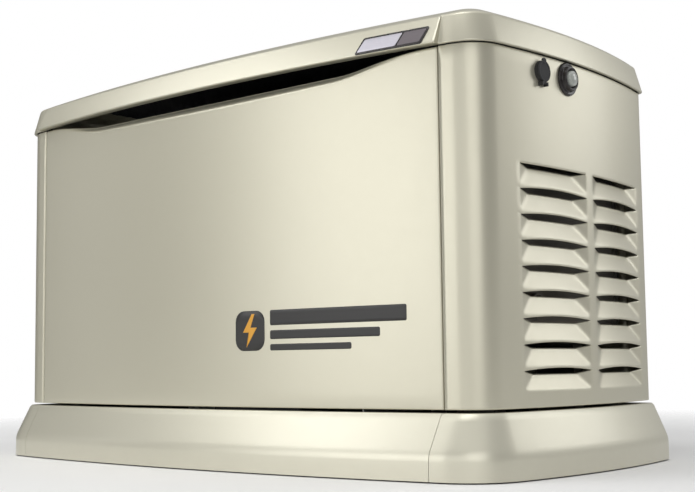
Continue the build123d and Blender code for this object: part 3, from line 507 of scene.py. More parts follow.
def frontStation(arcs, x):
    return Station(*arcs["front"], math.asin(x / arcs["front"][2]) - math.pi / 2)


def endStation(arcs, y):
    return Station(*arcs["end"], math.asin(y / arcs["end"][2]))


def backStation(x, y):
    return Station(x, y, 0, math.pi / 2)


def rightWay(arcs, startX, frontSteps, cornerSteps, endSteps, rearSteps, stopX, backSteps):
    # from a place on the front, round the right end, to a place on the back
    first, second, third = arcs["turns"]
    begin = math.asin(startX / arcs["front"][2]) - math.pi / 2
    way = [Station(*arcs["front"], a) for a in span(begin, first, frontSteps)]
    way += [Station(*arcs["corner"], a) for a in span(first, second, cornerSteps)[1:]]
    way += [Station(*arcs["end"], a) for a in span(second, third, endSteps)[1:]]
    way += [Station(*arcs["rear"], a) for a in span(third, math.pi / 2, rearSteps)[1:]]
    return way + [backStation(x, arcs["rearY"]) for x in span(arcs["rear"][0], stopX, backSteps)[1:]]


def mirrored(station):
    return Station(-station.x, station.y, station.radius, math.pi - station.angle)


# base

baseLook = {
    "kick": 39 * mm, "top": 99 * mm, "ledge": 7 * mm, "wall": 3 * mm, "seam": 0.8 * mm, "clear": 2.2 * mm,
    "crease": 9 * mm, "topR": 2.5 * mm,
}


def fascia(name, node, pairs):
    b = baseLook
    rise = b["top"] - b["kick"]
    build = bmesh.new()
    rows = []
    for foot, top in pairs:
        def point(share, inset, z):
            low, high = foot.at(-inset, z), top.at(b["ledge"] - inset, z)
            return low.lerp(high, share)

        ring = [point(0, 0, b["clear"])]
        ring += [point(0, 0, z) for z in span(b["clear"] + 0.004, b["kick"] - b["crease"], 3)]
        for t in (0.15, 0.35, 0.5, 0.65, 0.85):
            z = b["kick"] + (t * 2 - 1) * b["crease"]
            bend = max(0, (t * 2 - 1) * b["crease"]) / rise
            round_ = b["crease"] / rise * (1 - abs(t * 2 - 1)) ** 2 * 0.25
            ring.append(point(bend + round_, 0, z))
        roundZ = b["top"] - b["topR"] * 1.6
        ring += [point((z - b["kick"]) / rise, 0, z) for z in span(b["kick"] + b["crease"], roundZ, 6)]
        for t in (0.35, 0.7, 1.0):
            ring.append(point(1, b["topR"] * t * t, b["top"] - b["topR"] * 1.6 * (1 - t) ** 1.6))
        inner = b["top"] - b["wall"]
        ring += [point(*spot) for spot in ((1, b["ledge"] + 0.012, b["top"]), (1, b["ledge"] + 0.012, inner),
                (1, b["wall"] + 0.002, inner), (0, b["wall"], b["kick"]),
                (0, b["wall"], b["clear"]))]
        rows.append(ring)
    addSolid(build, rows)
    finishMesh(name, build, "root", "base_paint", (node,), crease=28)


def makeBase():
    edge = cabinet["seamX"]
    half = baseLook["seam"] / 2

    def pairs(make):
        return list(zip(make(footArcs), make(cabinetArcs)))

    front = pairs(lambda arcs: [frontStation(arcs, x) for x in span(-edge + half, edge - half, 60)])
    fascia("baseFront", "front_fascia", front)
    right = pairs(lambda arcs: rightWay(arcs, edge + half, 4, 20, 48, 10, edge + half, 4))
    fascia("baseRight", "right_fascia", right)
    fascia("baseLeft", "left_fascia", [(mirrored(a), mirrored(b)) for a, b in right])
    back = pairs(lambda arcs: [backStation(x, arcs["rearY"]) for x in span(edge - half, -edge + half, 20)])
    fascia("baseBack", "rear_fascia", back)
    print("base made")


# louvered panels

louver = {
    "rows": 9, "pitch": 39.35 * mm, "topZ": 473.5 * mm, "depth": 11 * mm, "run": 33 * mm, "throat": 4.6 * mm,
    "strip": 6.0 * mm, "arch": 4.5 * mm, "lip": 1.8 * mm, "proud": 1.2 * mm, "lastDrop": 29 * mm, "soft": 3.2 * mm,
    "steps": 12,
    "endColumns": [(-148 * mm, 37 * mm), (57 * mm, 242 * mm)],
    "backRows": 6, "backColumns": [(-430 * mm, -150 * mm), (150 * mm, 430 * mm)],
}
panelEdge = {
    "bottom": 103.5 * mm, "top": 648.8 * mm, "roll": 1.6 * mm, "flange": 20 * mm, "wall": 1.6 * mm,
    "seam": 0.8 * mm, "jambZs": (0.55, 0.4, 0.25), "backHalf": 511 * mm, "backInset": 2 * mm,
}


def softMin(a, b, k):
    h = min(1, max(0, 0.5 + 0.5 * (b - a) / k))
    return b + (a - b) * h - k * h * (1 - h)


def columnStops(y0, y1):
    run = louver["run"]
    return span(y0, y0 + run, 10) + span(y0 + run, y1 - run, 14)[1:] + span(y1 - run, y1, 10)[1:]


def louverSheet(build, ways, rows):
    # ways: (station, width of its louver column or 0, distance along that column), one per mesh column
    lv, edge = louver, panelEdge
    roll = edge["roll"]
    topZs = span(edge["top"] - roll, lv["topZ"] + 0.004, 8)
    for i in range(-1, rows):
        section = []
        for station, column, u in ways:
            if i < 0:
                line = [(-edge["flange"], edge["top"])]
                line += [(-roll * (1 - math.cos(a)), edge["top"] - roll + roll * math.sin(a))
                         for a in span(math.pi / 2, 0, 3)]
                line += [(0, z) for z in topZs[1:]]
                line += lipRows(0, lv["topZ"], lv["lip"] if 0 < u < column else 0)
            else:
                line = cellRows(i, rows, column, u)
            section.append([station.at(d, z) for d, z in line])
        addGrid(build, section)
    line = [(0, z) for z in span(lv["topZ"] - lv["pitch"] * rows, edge["bottom"] + roll, 6)]
    line += [(-roll * (1 - math.cos(a)), edge["bottom"] + roll - roll * math.sin(a))
             for a in span(0, math.pi / 2, 3)[1:]]
    line.append((-edge["flange"], edge["bottom"]))
    addGrid(build, [[station.at(d, z) for d, z in line] for station, column, u in ways])


def lipRows(depth, z, size):
    line = [(depth - size * (1 - math.cos(a)), z + size - size * math.sin(a)) for a in span(0, math.pi / 2, 3)]
    return line + [(depth - size * 2.2, z + size * 0.2)]


def cellRows(index, rows, column, u):
    lv = louver
    topZ = lv["topZ"] - lv["pitch"] * index
    lowZ = topZ - lv["pitch"]
    last = index == rows - 1
    if not column:
        flat = span(topZ, lowZ + lv["strip"], lv["steps"]) + span(lowZ + lv["strip"], lowZ, 3)[1:]
        return [(0, z) for z in flat + [lowZ] * 5]
    facet = min(lv["depth"], lv["depth"] * min(u, column - u) / lv["run"])
    share = 1 - (2 * u / column - 1) ** 2
    lipZ = lowZ + (0 if last else lv["arch"] * share)
    slopeZ = topZ - lv["lastDrop"] if last else lipZ + lv["strip"]
    line = []
    for z in span(topZ - lv["throat"] * facet / lv["depth"], slopeZ, lv["steps"]):
        slope = lv["depth"] * (z - slopeZ) / (topZ - lv["throat"] - slopeZ)
        depth = softMin(facet, max(0, slope), lv["soft"]) if 0 < u < column else 0
        line.append((-max(0, depth), z))
    proud = 0 if last else lv["proud"] * share ** 0.5
    size = 0 if last or not 0 < u < column else lv["lip"] * share ** 0.5
    for t in (1 / 3, 2 / 3, 1):
        line.append((proud * math.sin(t * math.pi / 2), lerp(slopeZ, lipZ + size, t)))
    return line + lipRows(proud, lipZ, size)


def endPanel(name, node, side):
    edge = cabinet["seamX"] + panelEdge["seam"]
    arcs = cabinetArcs
    frontSteps, cornerSteps = 4, 16
    around = rightWay(arcs, edge + panelEdge["roll"], frontSteps, cornerSteps, 1, 6, edge + 0.001, 3)
    around = [(station, 0, 0) for station in around]
    split = frontSteps + cornerSteps + 1
    startY, stopY = (arcs["end"][1] + arcs["end"][2] * math.sin(turn) for turn in arcs["turns"][1:])
    columns = louver["endColumns"]
    middle = [(y, 0, 0) for y in span(startY, columns[0][0], 5)[1:-1]]
    for (y0, y1), nextY in zip(columns, (columns[1][0], stopY)):
        middle += [(y, y1 - y0, y - y0) for y in columnStops(y0, y1)]
        middle += [(y, 0, 0) for y in span(y1, nextY, 3)[1:-1]]
    ways = around[:split] + [(endStation(arcs, y), c, u) for y, c, u in middle] + around[split:]
    ways = [(mirrored(s), c, u) for s, c, u in ways] if side < 0 else ways
    build = bmesh.new()
    louverSheet(build, ways, louver["rows"])
    jambRoll(build, edge, side)
    finishMesh(name, build, "root", "cabinet_paint", (node,), crease=40, wall=panelEdge["wall"],
               outward=lambda p: Vector((side + p.x, p.y * 2, 0)))


def jambRoll(build, edge, side):
    # the upright front edge turns in to make a jamb
    e = panelEdge
    roll = e["roll"]
    face = frontStation(cabinetArcs, edge + roll).at(0, 0)
    zs = [e["top"], e["top"] - roll, *e["jambZs"], e["bottom"] + roll, e["bottom"]]
    bend = [(roll * math.sin(a), roll * (1 - math.cos(a))) for a in span(0, math.pi / 2, 3)] + [(roll, e["flange"])]
    addGrid(build, [[Vector(((face.x - u) * side, face.y + v, z)) for z in zs] for u, v in bend])


def backPanel():
    y = cabinet["rearY"] - panelEdge["backInset"]
    half = panelEdge["backHalf"]
    ways = []
    cursor = -half
    for x0, x1 in louver["backColumns"]:
        ways += [(x, 0, 0) for x in span(cursor, x0, 4)[:-1]]
        ways += [(x, x1 - x0, x - x0) for x in columnStops(x0, x1)]
        cursor = x1
    ways += [(x, 0, 0) for x in span(cursor, half, 6)[1:]]
    ways = [(backStation(x, y), c, u) for x, c, u in ways]
    build = bmesh.new()
    louverSheet(build, ways, louver["backRows"])
    finishMesh("backPanel", build, "root", "cabinet_paint", ("rear_panel",), crease=40, wall=panelEdge["wall"],
               outward=facing(0, 1, 0))
    print("end and back panels made")


# front panel

frontLook = {
    "half": 493 * mm, "bottom": 103.5 * mm, "top": 648 * mm, "notchTop": 632 * mm, "notch": 300 * mm,
    "ramp": 482 * mm, "scoopZ": 617 * mm, "scoopLift": 34 * mm, "scoopSlope": 2.0, "blend": 11 * mm,
    "roll": 2.2 * mm, "flange": 19 * mm,
}


def frontSurface(x, z):
    f = frontLook
    skin = frontStation(cabinetArcs, x).at(0, z).y
    bow = skin + cabinet["frontY"]
    share = notchShare(x)
    scoop = bow * share - cabinet["frontY"] + (z - f["scoopZ"] - f["scoopLift"] * share) * f["scoopSlope"]
    return -softMin(-skin, -scoop, f["blend"])


def notchShare(x):
    f = frontLook
    t = min(1, max(0, (abs(x) - f["notch"]) / (f["ramp"] - f["notch"])))
    return t * t * (3 - 2 * t)


def frontTop(x):
    return lerp(frontLook["notchTop"], frontLook["top"], notchShare(x))


def frontPanel():
    f = frontLook
    roll = f["roll"]
    xs = span(-f["half"] + roll, f["half"] - roll, 150)
    share = span(0, 0.86, 20) + span(0.86, 1, 26)[1:]
    rows = [[(x, lerp(f["bottom"] + roll, frontTop(x) - roll, t)) for x in xs] for t in share]
    rows = [[Vector((x, frontSurface(x, z), z)) for x, z in row] for row in rows]
    build = bmesh.new()
    addGrid(build, rows)
    high, far = len(rows) - 1, len(xs) - 1
    spots = [(0, j) for j in range(far)] + [(i, far) for i in range(high)]
    spots += [(high, j) for j in range(far, 0, -1)] + [(i, 0) for i in range(high, 0, -1)]
    rim = [(rows[i][j], Vector(((j == far) - (j == 0), 0, (i == high) - (i == 0)))) for i, j in spots]
    loops = []
    for a in span(0, math.pi / 2, 4):
        loops.append([p + way * roll * math.sin(a) + Vector((0, roll * (1 - math.cos(a)), 0)) for p, way in rim])
    loops.append([p + way * roll + Vector((0, f["flange"], 0)) for p, way in rim])
    addGrid(build, loops, closed=True)
    finishMesh("frontPanel", build, "front_cover", "cabinet_paint", ("front_panel",), outward=facing(0, -1, 0),
               crease=50, wall=1.6 * mm)
    print("front panel made")


# lid

lidLook = {
    "low": 649.5 * mm, "edge": 7 * mm, "visorEdge": 20 * mm, "visorX": 499 * mm, "shoulderZ": 697 * mm,
    "shoulder": -6 * mm, "crownEdge": -30 * mm, "crownZ": 708 * mm, "rise": 23.6 * mm, "wall": 2.2 * mm,
    "spine": 0.30, "crownMiddle": 4 * mm, "crownHalf": (550.5 * mm, 251.5 * mm), "step": 0.3 * mm,
}


def lidProfile(visor):
    k = lidLook
    edge = k["visorEdge"] if visor else k["edge"]
    bendZ = k["shoulderZ"] - (2 * mm if visor else 0)
    bend = k["shoulder"] + (2 * mm if visor else 0)
    corners = [(0.6 * mm, k["low"] + 0.4 * mm), (edge, k["low"]), (bend, bendZ), (k["crownEdge"], k["crownZ"]),
               (k["crownEdge"] - 30 * mm, k["crownZ"] + 4.6 * mm)]
    return roundedPath(corners, [2.4 * mm, 9 * mm, 26 * mm], 7)[:-1]


def crownHeight(x, y):
    k = lidLook
    along = 1 - (x / k["crownHalf"][0]) ** 2
    across = 1 - ((y - k["crownMiddle"]) / k["crownHalf"][1]) ** 2
    return k["rise"] * max(0, across) * max(0, along)


def makeLid():
    k = lidLook
    step = k["visorX"]

    def loopAt(offset):
        # a corner that the offset would turn inside out starts from a larger radius
        plan = dict(cabinet)
        for key in ("cornerR", "rearCornerR"):
            plan[key] = max(plan[key], 3 * mm - offset)
        arcs = arcsOf(plan)
        near, far = k["step"], 5 * k["step"]
        half = [(frontStation(arcs, x), 1) for x in span(0, step - 4 * mm, 26) + [step - far]]
        half += [(frontStation(arcs, step - near), 0.92), (frontStation(arcs, step + near), 0.08)]
        half += [(s, 0) for s in rightWay(arcs, step + far, 3, 16, 36, 8, 0, 26)]
        return half + [(mirrored(s), v) for s, v in reversed(half[1:-1])]

    plain, proud = lidProfile(False), lidProfile(True)
    build = bmesh.new()
    rows = []
    for low, high in zip(plain, proud):
        rows.append([s.at(*low.lerp(high, v)) for s, v in loopAt(min(low.x, high.x))])
    last = rows[-1]
    half = len(last) // 2 + 1
    shares = [min(1, i / 26, (half - 1 - i) / 26) for i in range(half)]
    shares += [-share for share in reversed(shares[1:-1])]
    spine = [Vector((k["spine"] * share, k["crownMiddle"], 0)) for share in shares]
    for t in (0.06, 0.12, 0.2, 0.3, 0.4, 0.5, 0.6, 0.7, 0.8, 0.9, 1):
        row = []
        for p, mid in zip(last, spine):
            q = p.lerp(mid, t)
            base = lerp(p.z, k["crownZ"], min(1, t * 4))
            q.z = base + crownHeight(q.x, q.y) * min(1, 0.35 + t * 4)
            row.append(q)
        rows.append(row)
    addGrid(build, rows, closed=True)
    finishMesh("lidShell", build, "lid", "lid_paint", ("lid",),
               outward=lambda p: Vector((p.x * 0.3, p.y * 0.5, 0.4)), crease=42, wall=k["wall"])
    print("lid made")


# badge and printed strip

badge = {
    "low": (357, 477), "high": (366, 485), "z": (651.5, 680), "split": (432.5, 440), "radius": 3.4, "rim": 3.4,
    "rimLift": 1.5, "rimThick": 1.7, "plateRadius": 2.2, "plateLift": 1.9, "plateThick": 0.6,
}


def visorOffset(z):
    k = lidLook
    return lerp(k["visorEdge"], k["shoulder"] + 2 * mm, (z - k["low"]) / (k["shoulderZ"] - 2 * mm - k["low"]))


def visorPoint(x, z, lift):
    return frontStation(cabinetArcs, x).at(visorOffset(z) + lift, z)


def panelPoint(x, z, lift):
    return Vector((x, frontSurface(x, z) - lift, z))


def curvedPlate(name, surface, low, high, zs, radius, lift, thick, body, slot, replaced=(), finish=None, bevel=0.3):
    # a four-sided plate with rounded corners, bent to a surface; sizes in millimetres
    build = bmesh.new()
    rows = []
    height, width = zs[1] - zs[0], low[1] - low[0]
    cuts = [radius / width * (1 - math.cos(a)) for a in span(0, math.pi / 2, 5)]
    for u in cuts + span(cuts[-1], 1 - cuts[-1], 22)[1:-1] + [1 - c for c in reversed(cuts)]:
        fromSide = min(u, 1 - u) * width
        cut = radius - math.sqrt(max(0, radius ** 2 - max(0, radius - fromSide) ** 2))
        column = []
        for v in span(cut / height, 1 - cut / height, 5):
            x = lerp(lerp(*low, u), lerp(*high, u), v)
            column.append(surface(x * mm, lerp(*zs, v) * mm, lift * mm))
        rows.append(column)
    addGrid(build, rows)
    finishMesh(name, build, body, slot, replaced, finish, facing(0, -1, 0), wall=thick * mm, bevel=bevel * mm)


def makeBadge():
    b = badge
    curvedPlate("badgeRim", visorPoint, b["low"], b["high"], b["z"], b["radius"], b["rimLift"], b["rimThick"],
                "lid", "gloss_black", ("lid_badge",))
    rim = b["rim"]
    zs = (b["z"][0] + rim, b["z"][1] - rim)
    silver = [(b["low"][0] + rim * 1.2, b["split"][0] - rim / 2), (b["high"][0] + rim, b["split"][1] - rim / 2)]
    dark = [(b["split"][0] + rim / 2, b["low"][1] - rim), (b["split"][1] + rim / 2, b["high"][1] - rim * 1.2)]
    for name, (low, high), finish in (("badgeSilver", silver, None), ("badgeDark", dark, "darkPlate")):
        curvedPlate(name, visorPoint, low, high, zs, b["plateRadius"], b["plateLift"], b["plateThick"],
                    "lid", "badge_plate", finish=finish, bevel=0.15)
    print("badge made")


stripLook = {
    "x": (87, 433), "z": (196, 262), "lift": 0.12, "thick": 0.1, "gap": 12, "roundness": 0.28,
    "bars": [(1.0, 0.62, 1.0), (0.82, 0.28, 0.50), (0.62, 0.0, 0.16)],    # length, lower and upper edge, as shares
    "bolt": [(0.56, 0.92), (0.26, 0.46), (0.46, 0.46), (0.38, 0.08), (0.74, 0.58), (0.52, 0.58), (0.66, 0.92)],
    "boltLift": 0.28,
}


def makeStrip():
    s = stripLook
    x0, x1 = s["x"]
    z0, z1 = s["z"]
    size = z1 - z0

    def patch(name, left, right, zs, radius):
        curvedPlate(name, panelPoint, (left, right), (left, right), zs, radius, s["lift"], s["thick"],
                    "front_cover", "gloss_black", finish="charcoalInk", bevel=0)

    patch("stripRoundel", x0, x0 + size, (z0, z1), size * s["roundness"])
    left = x0 + size + s["gap"]
    for i, (share, low, high) in enumerate(s["bars"]):
        patch(f"stripBar{i}", left, lerp(left, x1, share), (z0 + size * low, z0 + size * high),
              min(3, size * (high - low) * 0.3))
    build = bmesh.new()
    build.faces.new([build.verts.new(((x0 + u * size) * mm, 0, (z0 + v * size) * mm)) for u, v in s["bolt"]])
    build.normal_update()    # a notched outline is cut up rightly only once its face knows its normal
    bmesh.ops.triangulate(build, faces=build.faces)
    bmesh.ops.subdivide_edges(build, edges=build.edges, cuts=5, use_grid_fill=True)
    for v in build.verts:
        v.co = panelPoint(v.co.x, v.co.z, s["boltLift"] * mm)    # every point onto the curved door
    finishMesh("stripBolt", build, "front_cover", "gloss_black", finish="amberInk", outward=facing(0, -1, 0),
               wall=s["thick"] * mm)
    print("printed strip made")


# turned pieces on the ends

def turned(build, centre, profile, axis="x", segments=64, side=1):
    # profile of (radius, reach along the axis) turned round it, in millimetres; open ends are closed by a face
    rings = []
    for radius, reach in profile:
        ring = []
        for i in range(segments):
            a = 2 * math.pi * i / segments
            u, v = radius * math.cos(a), radius * math.sin(a)
            spot = {"x": (reach, u, v), "y": (u, reach, v), "z": (u, v, reach)}[axis]
            p = (Vector(centre) + Vector(spot)) * mm
            ring.append(Vector((p.x * side, p.y, p.z)))
        rings.append(ring)
    made = addGrid(build, rings, closed=True)
    for ring, (radius, reach) in ((made[0], profile[0]), (made[-1], profile[-1])):
        if radius > 0.05 and profile[0] != profile[-1]:
            build.faces.new(ring)


switchLook = {
    "centre": (580, -16, 621),
    "bezel": [(13.4, -20), (13.4, 5), (15.0, 9.2), (17.4, 10.6), (19.4, 9.8), (20.2, 5.0), (21.0, 3.4), (24.6, 4.4),
              (26.8, 2.6), (27, -0.5), (24, -1.5), (20, -1.5), (20, -20)],
    "bezelRadii": [0.8, 1.2, 1.5, 1.2, 1.0, 1.0, 1.4, 1.2, 0.5, 0.4, 0.4],
    "lens": [(12.9, -18), (12.9, 9.0), (12.0, 12.6), (9.8, 13.6), (9.2, 12.9), (7.0, 14.2), (3.0, 15.0), (0, 15.1)],
    "lensRadii": [0.4, 1.2, 1.0, 0.4, 0.6, 1.5, 1.5],
}
lockLook = {
    "centre": (581.4, -88, 622), "r": 17,
    "tab": [(-4.5, 12), (-5.2, 19), (-2, 21), (2, 21), (5.2, 19), (4.5, 12)],
    "hinge": [(-4.3, -12), (-4.3, -20.5), (4.3, -20.5), (4.3, -12)],
}


def makeSwitch():
    s = switchLook
    build = bmesh.new()
    bezel = roundedPath(s["bezel"], s["bezelRadii"])
    turned(build, s["centre"], bezel + bezel[:1])
    finishMesh("switchBezel", build, "root", "gloss_black", ("shutdown_bezel",), crease=50)
    build = bmesh.new()
    turned(build, s["centre"], roundedPath(s["lens"], s["lensRadii"]))
    finishMesh("switchLens", build, "shutdown", "switch_lens", ("shutdown_button",), crease=60)
    print("shutdown switch made")


def makeLockCover(name, node, body, side):
    k = lockLook
    r = k["r"]
    build = bmesh.new()
    turned(build, k["centre"], roundedPath(
        [(0, 0), (r, 0), (r, 2.6), (r - 1.2, 3.4), (r - 3.2, 3.1), (r - 4.0, 2.6), (0, 2.8)],
        [0.3, 0.6, 0.5, 0.4, 0.4]), side=side)
    for outline, radii, reaches in ((k["tab"], [2] * 4, ((0.2, 0.92), (0.7, 1), (2.9, 1), (3.4, 0.9))),
            (k["hinge"], [1.5] * 2, ((0.4, 1), (3.0, 1)))):
        path = roundedPath(outline, radii, 3)
        rings = [[Vector(k["centre"]) + Vector((reach, p.x * shrink, p.y * lerp(1, shrink, 0.3))) for p in path]
                 for reach, shrink in reaches]
        addSolid(build, [[Vector((p.x * side, p.y, p.z)) * mm for p in ring] for ring in rings])
    finishMesh(name, build, body, "black_rubber", (node,), crease=45, bevel=0.25 * mm)


# pieces grown with geometry nodes

class Grower(Bench):
    def __init__(self, name, sizes):
        self.tree = bpy.data.node_groups.new(name, "GeometryNodeTree")
        face = self.tree.interface
        face.new_socket("Geometry", in_out="INPUT", socket_type="NodeSocketGeometry")
        self.keys = {}
        for label, value in sizes.items():
            kind = "NodeSocketInt" if isinstance(value, int) else "NodeSocketFloat"
            socket = face.new_socket(label, in_out="INPUT", socket_type=kind)
            socket.default_value = value
            self.keys[label] = socket.identifier
        face.new_socket("Geometry", in_out="OUTPUT", socket_type="NodeSocketGeometry")
        self.source = self.tree.nodes.new("NodeGroupInput")
        self.sizes = sizes

    def given(self, label):
        return Wire(self.tree, self.source.outputs[label])

    def close(self, geometry, finish):
        real = self.make("GeometryNodeRealizeInstances", None, {"Geometry": geometry})
        done = self.make("GeometryNodeSetMaterial", None, {"Geometry": real, "Material": finishes[finish]})
        out = self.tree.nodes.new("NodeGroupOutput")
        plug(self.tree, out.inputs[0], done)

    def grow(self, name, mesh, body, slot, replaced=(), wall=0.0, smooth=False, **sizes):
        piece = bpy.data.objects.new(name, mesh)
        bpy.context.scene.collection.objects.link(piece)
        modifier = piece.modifiers.new("grow", "NODES")
        modifier.node_group = self.tree
        for label, value in {**self.sizes, **sizes}.items():
            modifier[self.keys[label]] = value
        plain = bpy.data.meshes.new_from_object(piece.evaluated_get(bpy.context.evaluated_depsgraph_get()))
        piece.modifiers.clear()
        piece.data = plain
        for face in plain.polygons:
            face.use_smooth = smooth
        settle(piece, body, replaced, wall)


def aimedPoints(name, places):
    # loose points, each with the direction its bolt head faces
    mesh = bpy.data.meshes.new(name)
    mesh.from_pydata([Vector(p) * mm for p, aim in places], [], [])
    aims = mesh.attributes.new("aim", "FLOAT_VECTOR", "POINT")
    for item, (p, aim) in zip(aims.data, places):
        item.vector = Vector(aim).normalized()
    return mesh


def boltGrower(finish):
    g = Grower("flangeBolts", {"across": 0.010, "height": 0.004, "flange": 0.0075, "seed": 7})
    radius, height = g.given("across") / 1.732, g.given("height")

    def disc(sides, low, high, rise, at):
        solid = g.make("GeometryNodeMeshCone", None,
                       {"Vertices": sides, "Radius Bottom": low, "Radius Top": high, "Depth": rise})
        lift = g.make("ShaderNodeCombineXYZ", None, {"Z": at})
        return g.make("GeometryNodeTransform", None, {"Geometry": solid, "Translation": lift})

    join = g.tree.nodes.new("GeometryNodeJoinGeometry")
    flange = height * 0.22
    for part in (disc(20, g.given("flange"), g.given("flange") * 0.92, flange, 0.0),
                 disc(6, radius, radius, height * 0.8, flange),
                 disc(6, radius, radius * 0.82, height * 0.2, flange + height * 0.8)):
        g.tree.links.new(part.socket, join.inputs[0])
    aim = g.make("GeometryNodeInputNamedAttribute", {"data_type": "FLOAT_VECTOR"}, {"Name": "aim"})
    face = g.make("FunctionNodeAlignRotationToVector", {"axis": "Z"}, {"Vector": aim})
    spread = {2: 0.0, 3: 6.283, "Seed": g.given("seed")}
    angle = g.make("FunctionNodeRandomValue", {"data_type": "FLOAT"}, spread, 1)
    turn = g.make("FunctionNodeAxisAngleToRotation", None, {"Axis": (0, 0, 1), "Angle": angle})
    both = g.make("FunctionNodeRotateRotation", {"rotation_space": "LOCAL"}, {"Rotation": face, "Rotate By": turn})
    heads = g.make("GeometryNodeInstanceOnPoints", None,
                   {"Points": g.given("Geometry"), "Instance": Wire(g.tree, join.outputs[0]), "Rotation": both})
    g.close(heads, finish)
    return g


crank = {"y": 35, "z": 280}
controlFace = {"tilt": 20, "frontY": -215, "frontZ": 583.5846}


def onBank(lean, x, u, v, w):
    # a place on a cylinder bank: along the crank, across the bank and out along it
    a = math.radians(lean)
    out, across = Vector((0, math.sin(a), math.cos(a))), Vector((0, math.cos(a), -math.sin(a)))
    return Vector((x + u, crank["y"], crank["z"])) + across * v + out * w, out


def faceWay():
    a = math.radians(controlFace["tilt"])
    return Vector((0, -math.sin(a), math.cos(a)))


def onFace(u, v, w):
    # a place on the tilted control face, v up the slope from its front edge
    way = faceWay()
    front = Vector((u, controlFace["frontY"], controlFace["frontZ"]))
    return front + Vector((0, way.z, -way.y)) * v + way * w


def ringOf(count, radius, turn=0.0):
    # places round a circle, as pairs
    turns = [2 * math.pi * (k + turn) / count for k in range(count)]
    return [(radius * math.cos(a), radius * math.sin(a)) for a in turns]


# head sizes in metres, the CAD node that a group stands for, and its places in millimetres with their directions
boltPlaces = {
    "panelHexScrews": (
        {"across": 0.0085, "height": 0.0030, "flange": 0.0060}, ("panel_screws",),
        [((sx * 502, 285, z), (0, 1, 0)) for sx in (-1, 1) for z in (140, 300, 460, 610)]),
    "blowerBolts": ({}, (), [((-430, y, z), (-1, 0, 0)) for y, z in (
        (-112, 200), (-112, 360), (182, 200), (182, 360), (-20, 133), (90, 133), (-20, 427), (90, 427))]),
    "bellBolts": ({}, (), [((282, crank["y"] + u, crank["z"] + v), (1, 0, 0)) for u, v in ringOf(8, 110, 0.5)]),
    "regulatorScrews": (
        {"across": 0.006, "height": 0.003, "flange": 0.0042}, (),
        [((105 + u, 215 + v, 212), (0, 0, 1)) for u, v in ringOf(8, 31)]),
    "mountBolts": (
        {"across": 0.016, "height": 0.009, "flange": 0.013}, (),
        [((x, y, 76), (0, 0, 1)) for x in (-280, 255) for y in (-100, 175)]),
    "dividerScrews": ({}, (), [((328, y, z), (-1, 0, 0)) for y in (-222, 256) for z in (120, 290, 460, 610)]),
    "valveCoverBolts": (
        {"height": 0.006}, (),
        [onBank(lean, x, u, v, 270) for lean, x in ((45, -154), (-45, -190)) for u in (-32, 32) for v in (-27, 27)]),
}


def makeBolts():
    g = boltGrower("zinc_steel")
    for name, (sizes, replaced, places) in boltPlaces.items():
        g.grow(name, aimedPoints(name, places), "root", "zinc_steel", replaced, **sizes)
    print("bolts and screws made")


foamLook = {
    "width": 0.9, "depth": 0.4, "pitch": 0.026, "swing": 0.003, "level": 0.7, "bowRadius": 50.0,
    "middle": 0.0125, "columns": 210, "rows": 96,
}


def foamGrower(upright):
    # middle is the sheet's place in depth for the lid, and in height for the door
    g = Grower("eggCrateFoam", foamLook)
    sizes = {"Size X": "width", "Size Y": "depth", "Vertices X": "columns", "Vertices Y": "rows"}
    grid = g.make("GeometryNodeMeshGrid", None, {slot: g.given(label) for slot, label in sizes.items()})
    spot = g.tree.nodes.new("ShaderNodeSeparateXYZ")
    g.tree.links.new(g.tree.nodes.new("GeometryNodeInputPosition").outputs[0], spot.inputs[0])
    x, y = Wire(g.tree, spot.outputs[0]), Wire(g.tree, spot.outputs[1])
    turn = 2 * math.pi / g.given("pitch")
    bump = (x * turn).math("SINE") * (y * turn).math("SINE") * g.given("swing")
    bow = x * x / (g.given("bowRadius") * 2)
    if upright:
        place = {"X": x, "Y": g.given("level") + bow + bump, "Z": y + g.given("middle")}
    else:
        place = {"X": x, "Y": y + g.given("middle"), "Z": g.given("level") + bump - bow}
    sheet = g.make("GeometryNodeSetPosition", None,
                   {"Geometry": grid, "Position": g.make("ShaderNodeCombineXYZ", None, place)})
    g.close(sheet, "foam")
    return g


def makeFoam():
    for name, body, node, upright, wall, sizes in (
            ("lidFoam", "lid", "lid_liner", False, -0.004, {"width": 0.94, "depth": 0.41, "level": 0.7045}),
            ("doorFoam", "front_cover", "front_panel_liner", True, 0.004,
             {"width": 0.90, "depth": 0.44, "level": -0.263, "middle": 0.36, "bowRadius": cabinetArcs["front"][2]})):
        grower = foamGrower(upright)
        grower.grow(name, bpy.data.meshes.new(name), body, "foam", (node,), wall=wall, smooth=True, **sizes)
    print("foam made")


# control face, battery and rear fittings

def slab(build, corners, thick, radius, way, steps=4):
    # a plate with rounded corners; corners go round its outer face, way points outwards
    path = roundedPath(corners, [radius] * len(corners), steps, closed=True)
    way = Vector(way).normalized()
    middle = sum(path, Vector()) / len(path)
    rise = min(0.12 * thick, 0.5)
    addSolid(build, [[(p - way * thick) * mm for p in path], [(p - way * rise) * mm for p in path],
            [(p + (middle - p).normalized() * rise) * mm for p in path]])


def facePlate(name, us, vs, low, high, radius, slot, finish=None):
    build = bmesh.new()
    corners = [onFace(us[i], vs[j], high) for i, j in ((0, 0), (1, 0), (1, 1), (0, 1))]
    slab(build, corners, high - low, radius, faceWay())
    finishMesh(name, build, "root", slot, finish=finish, outward=facing(*faceWay()), crease=30)


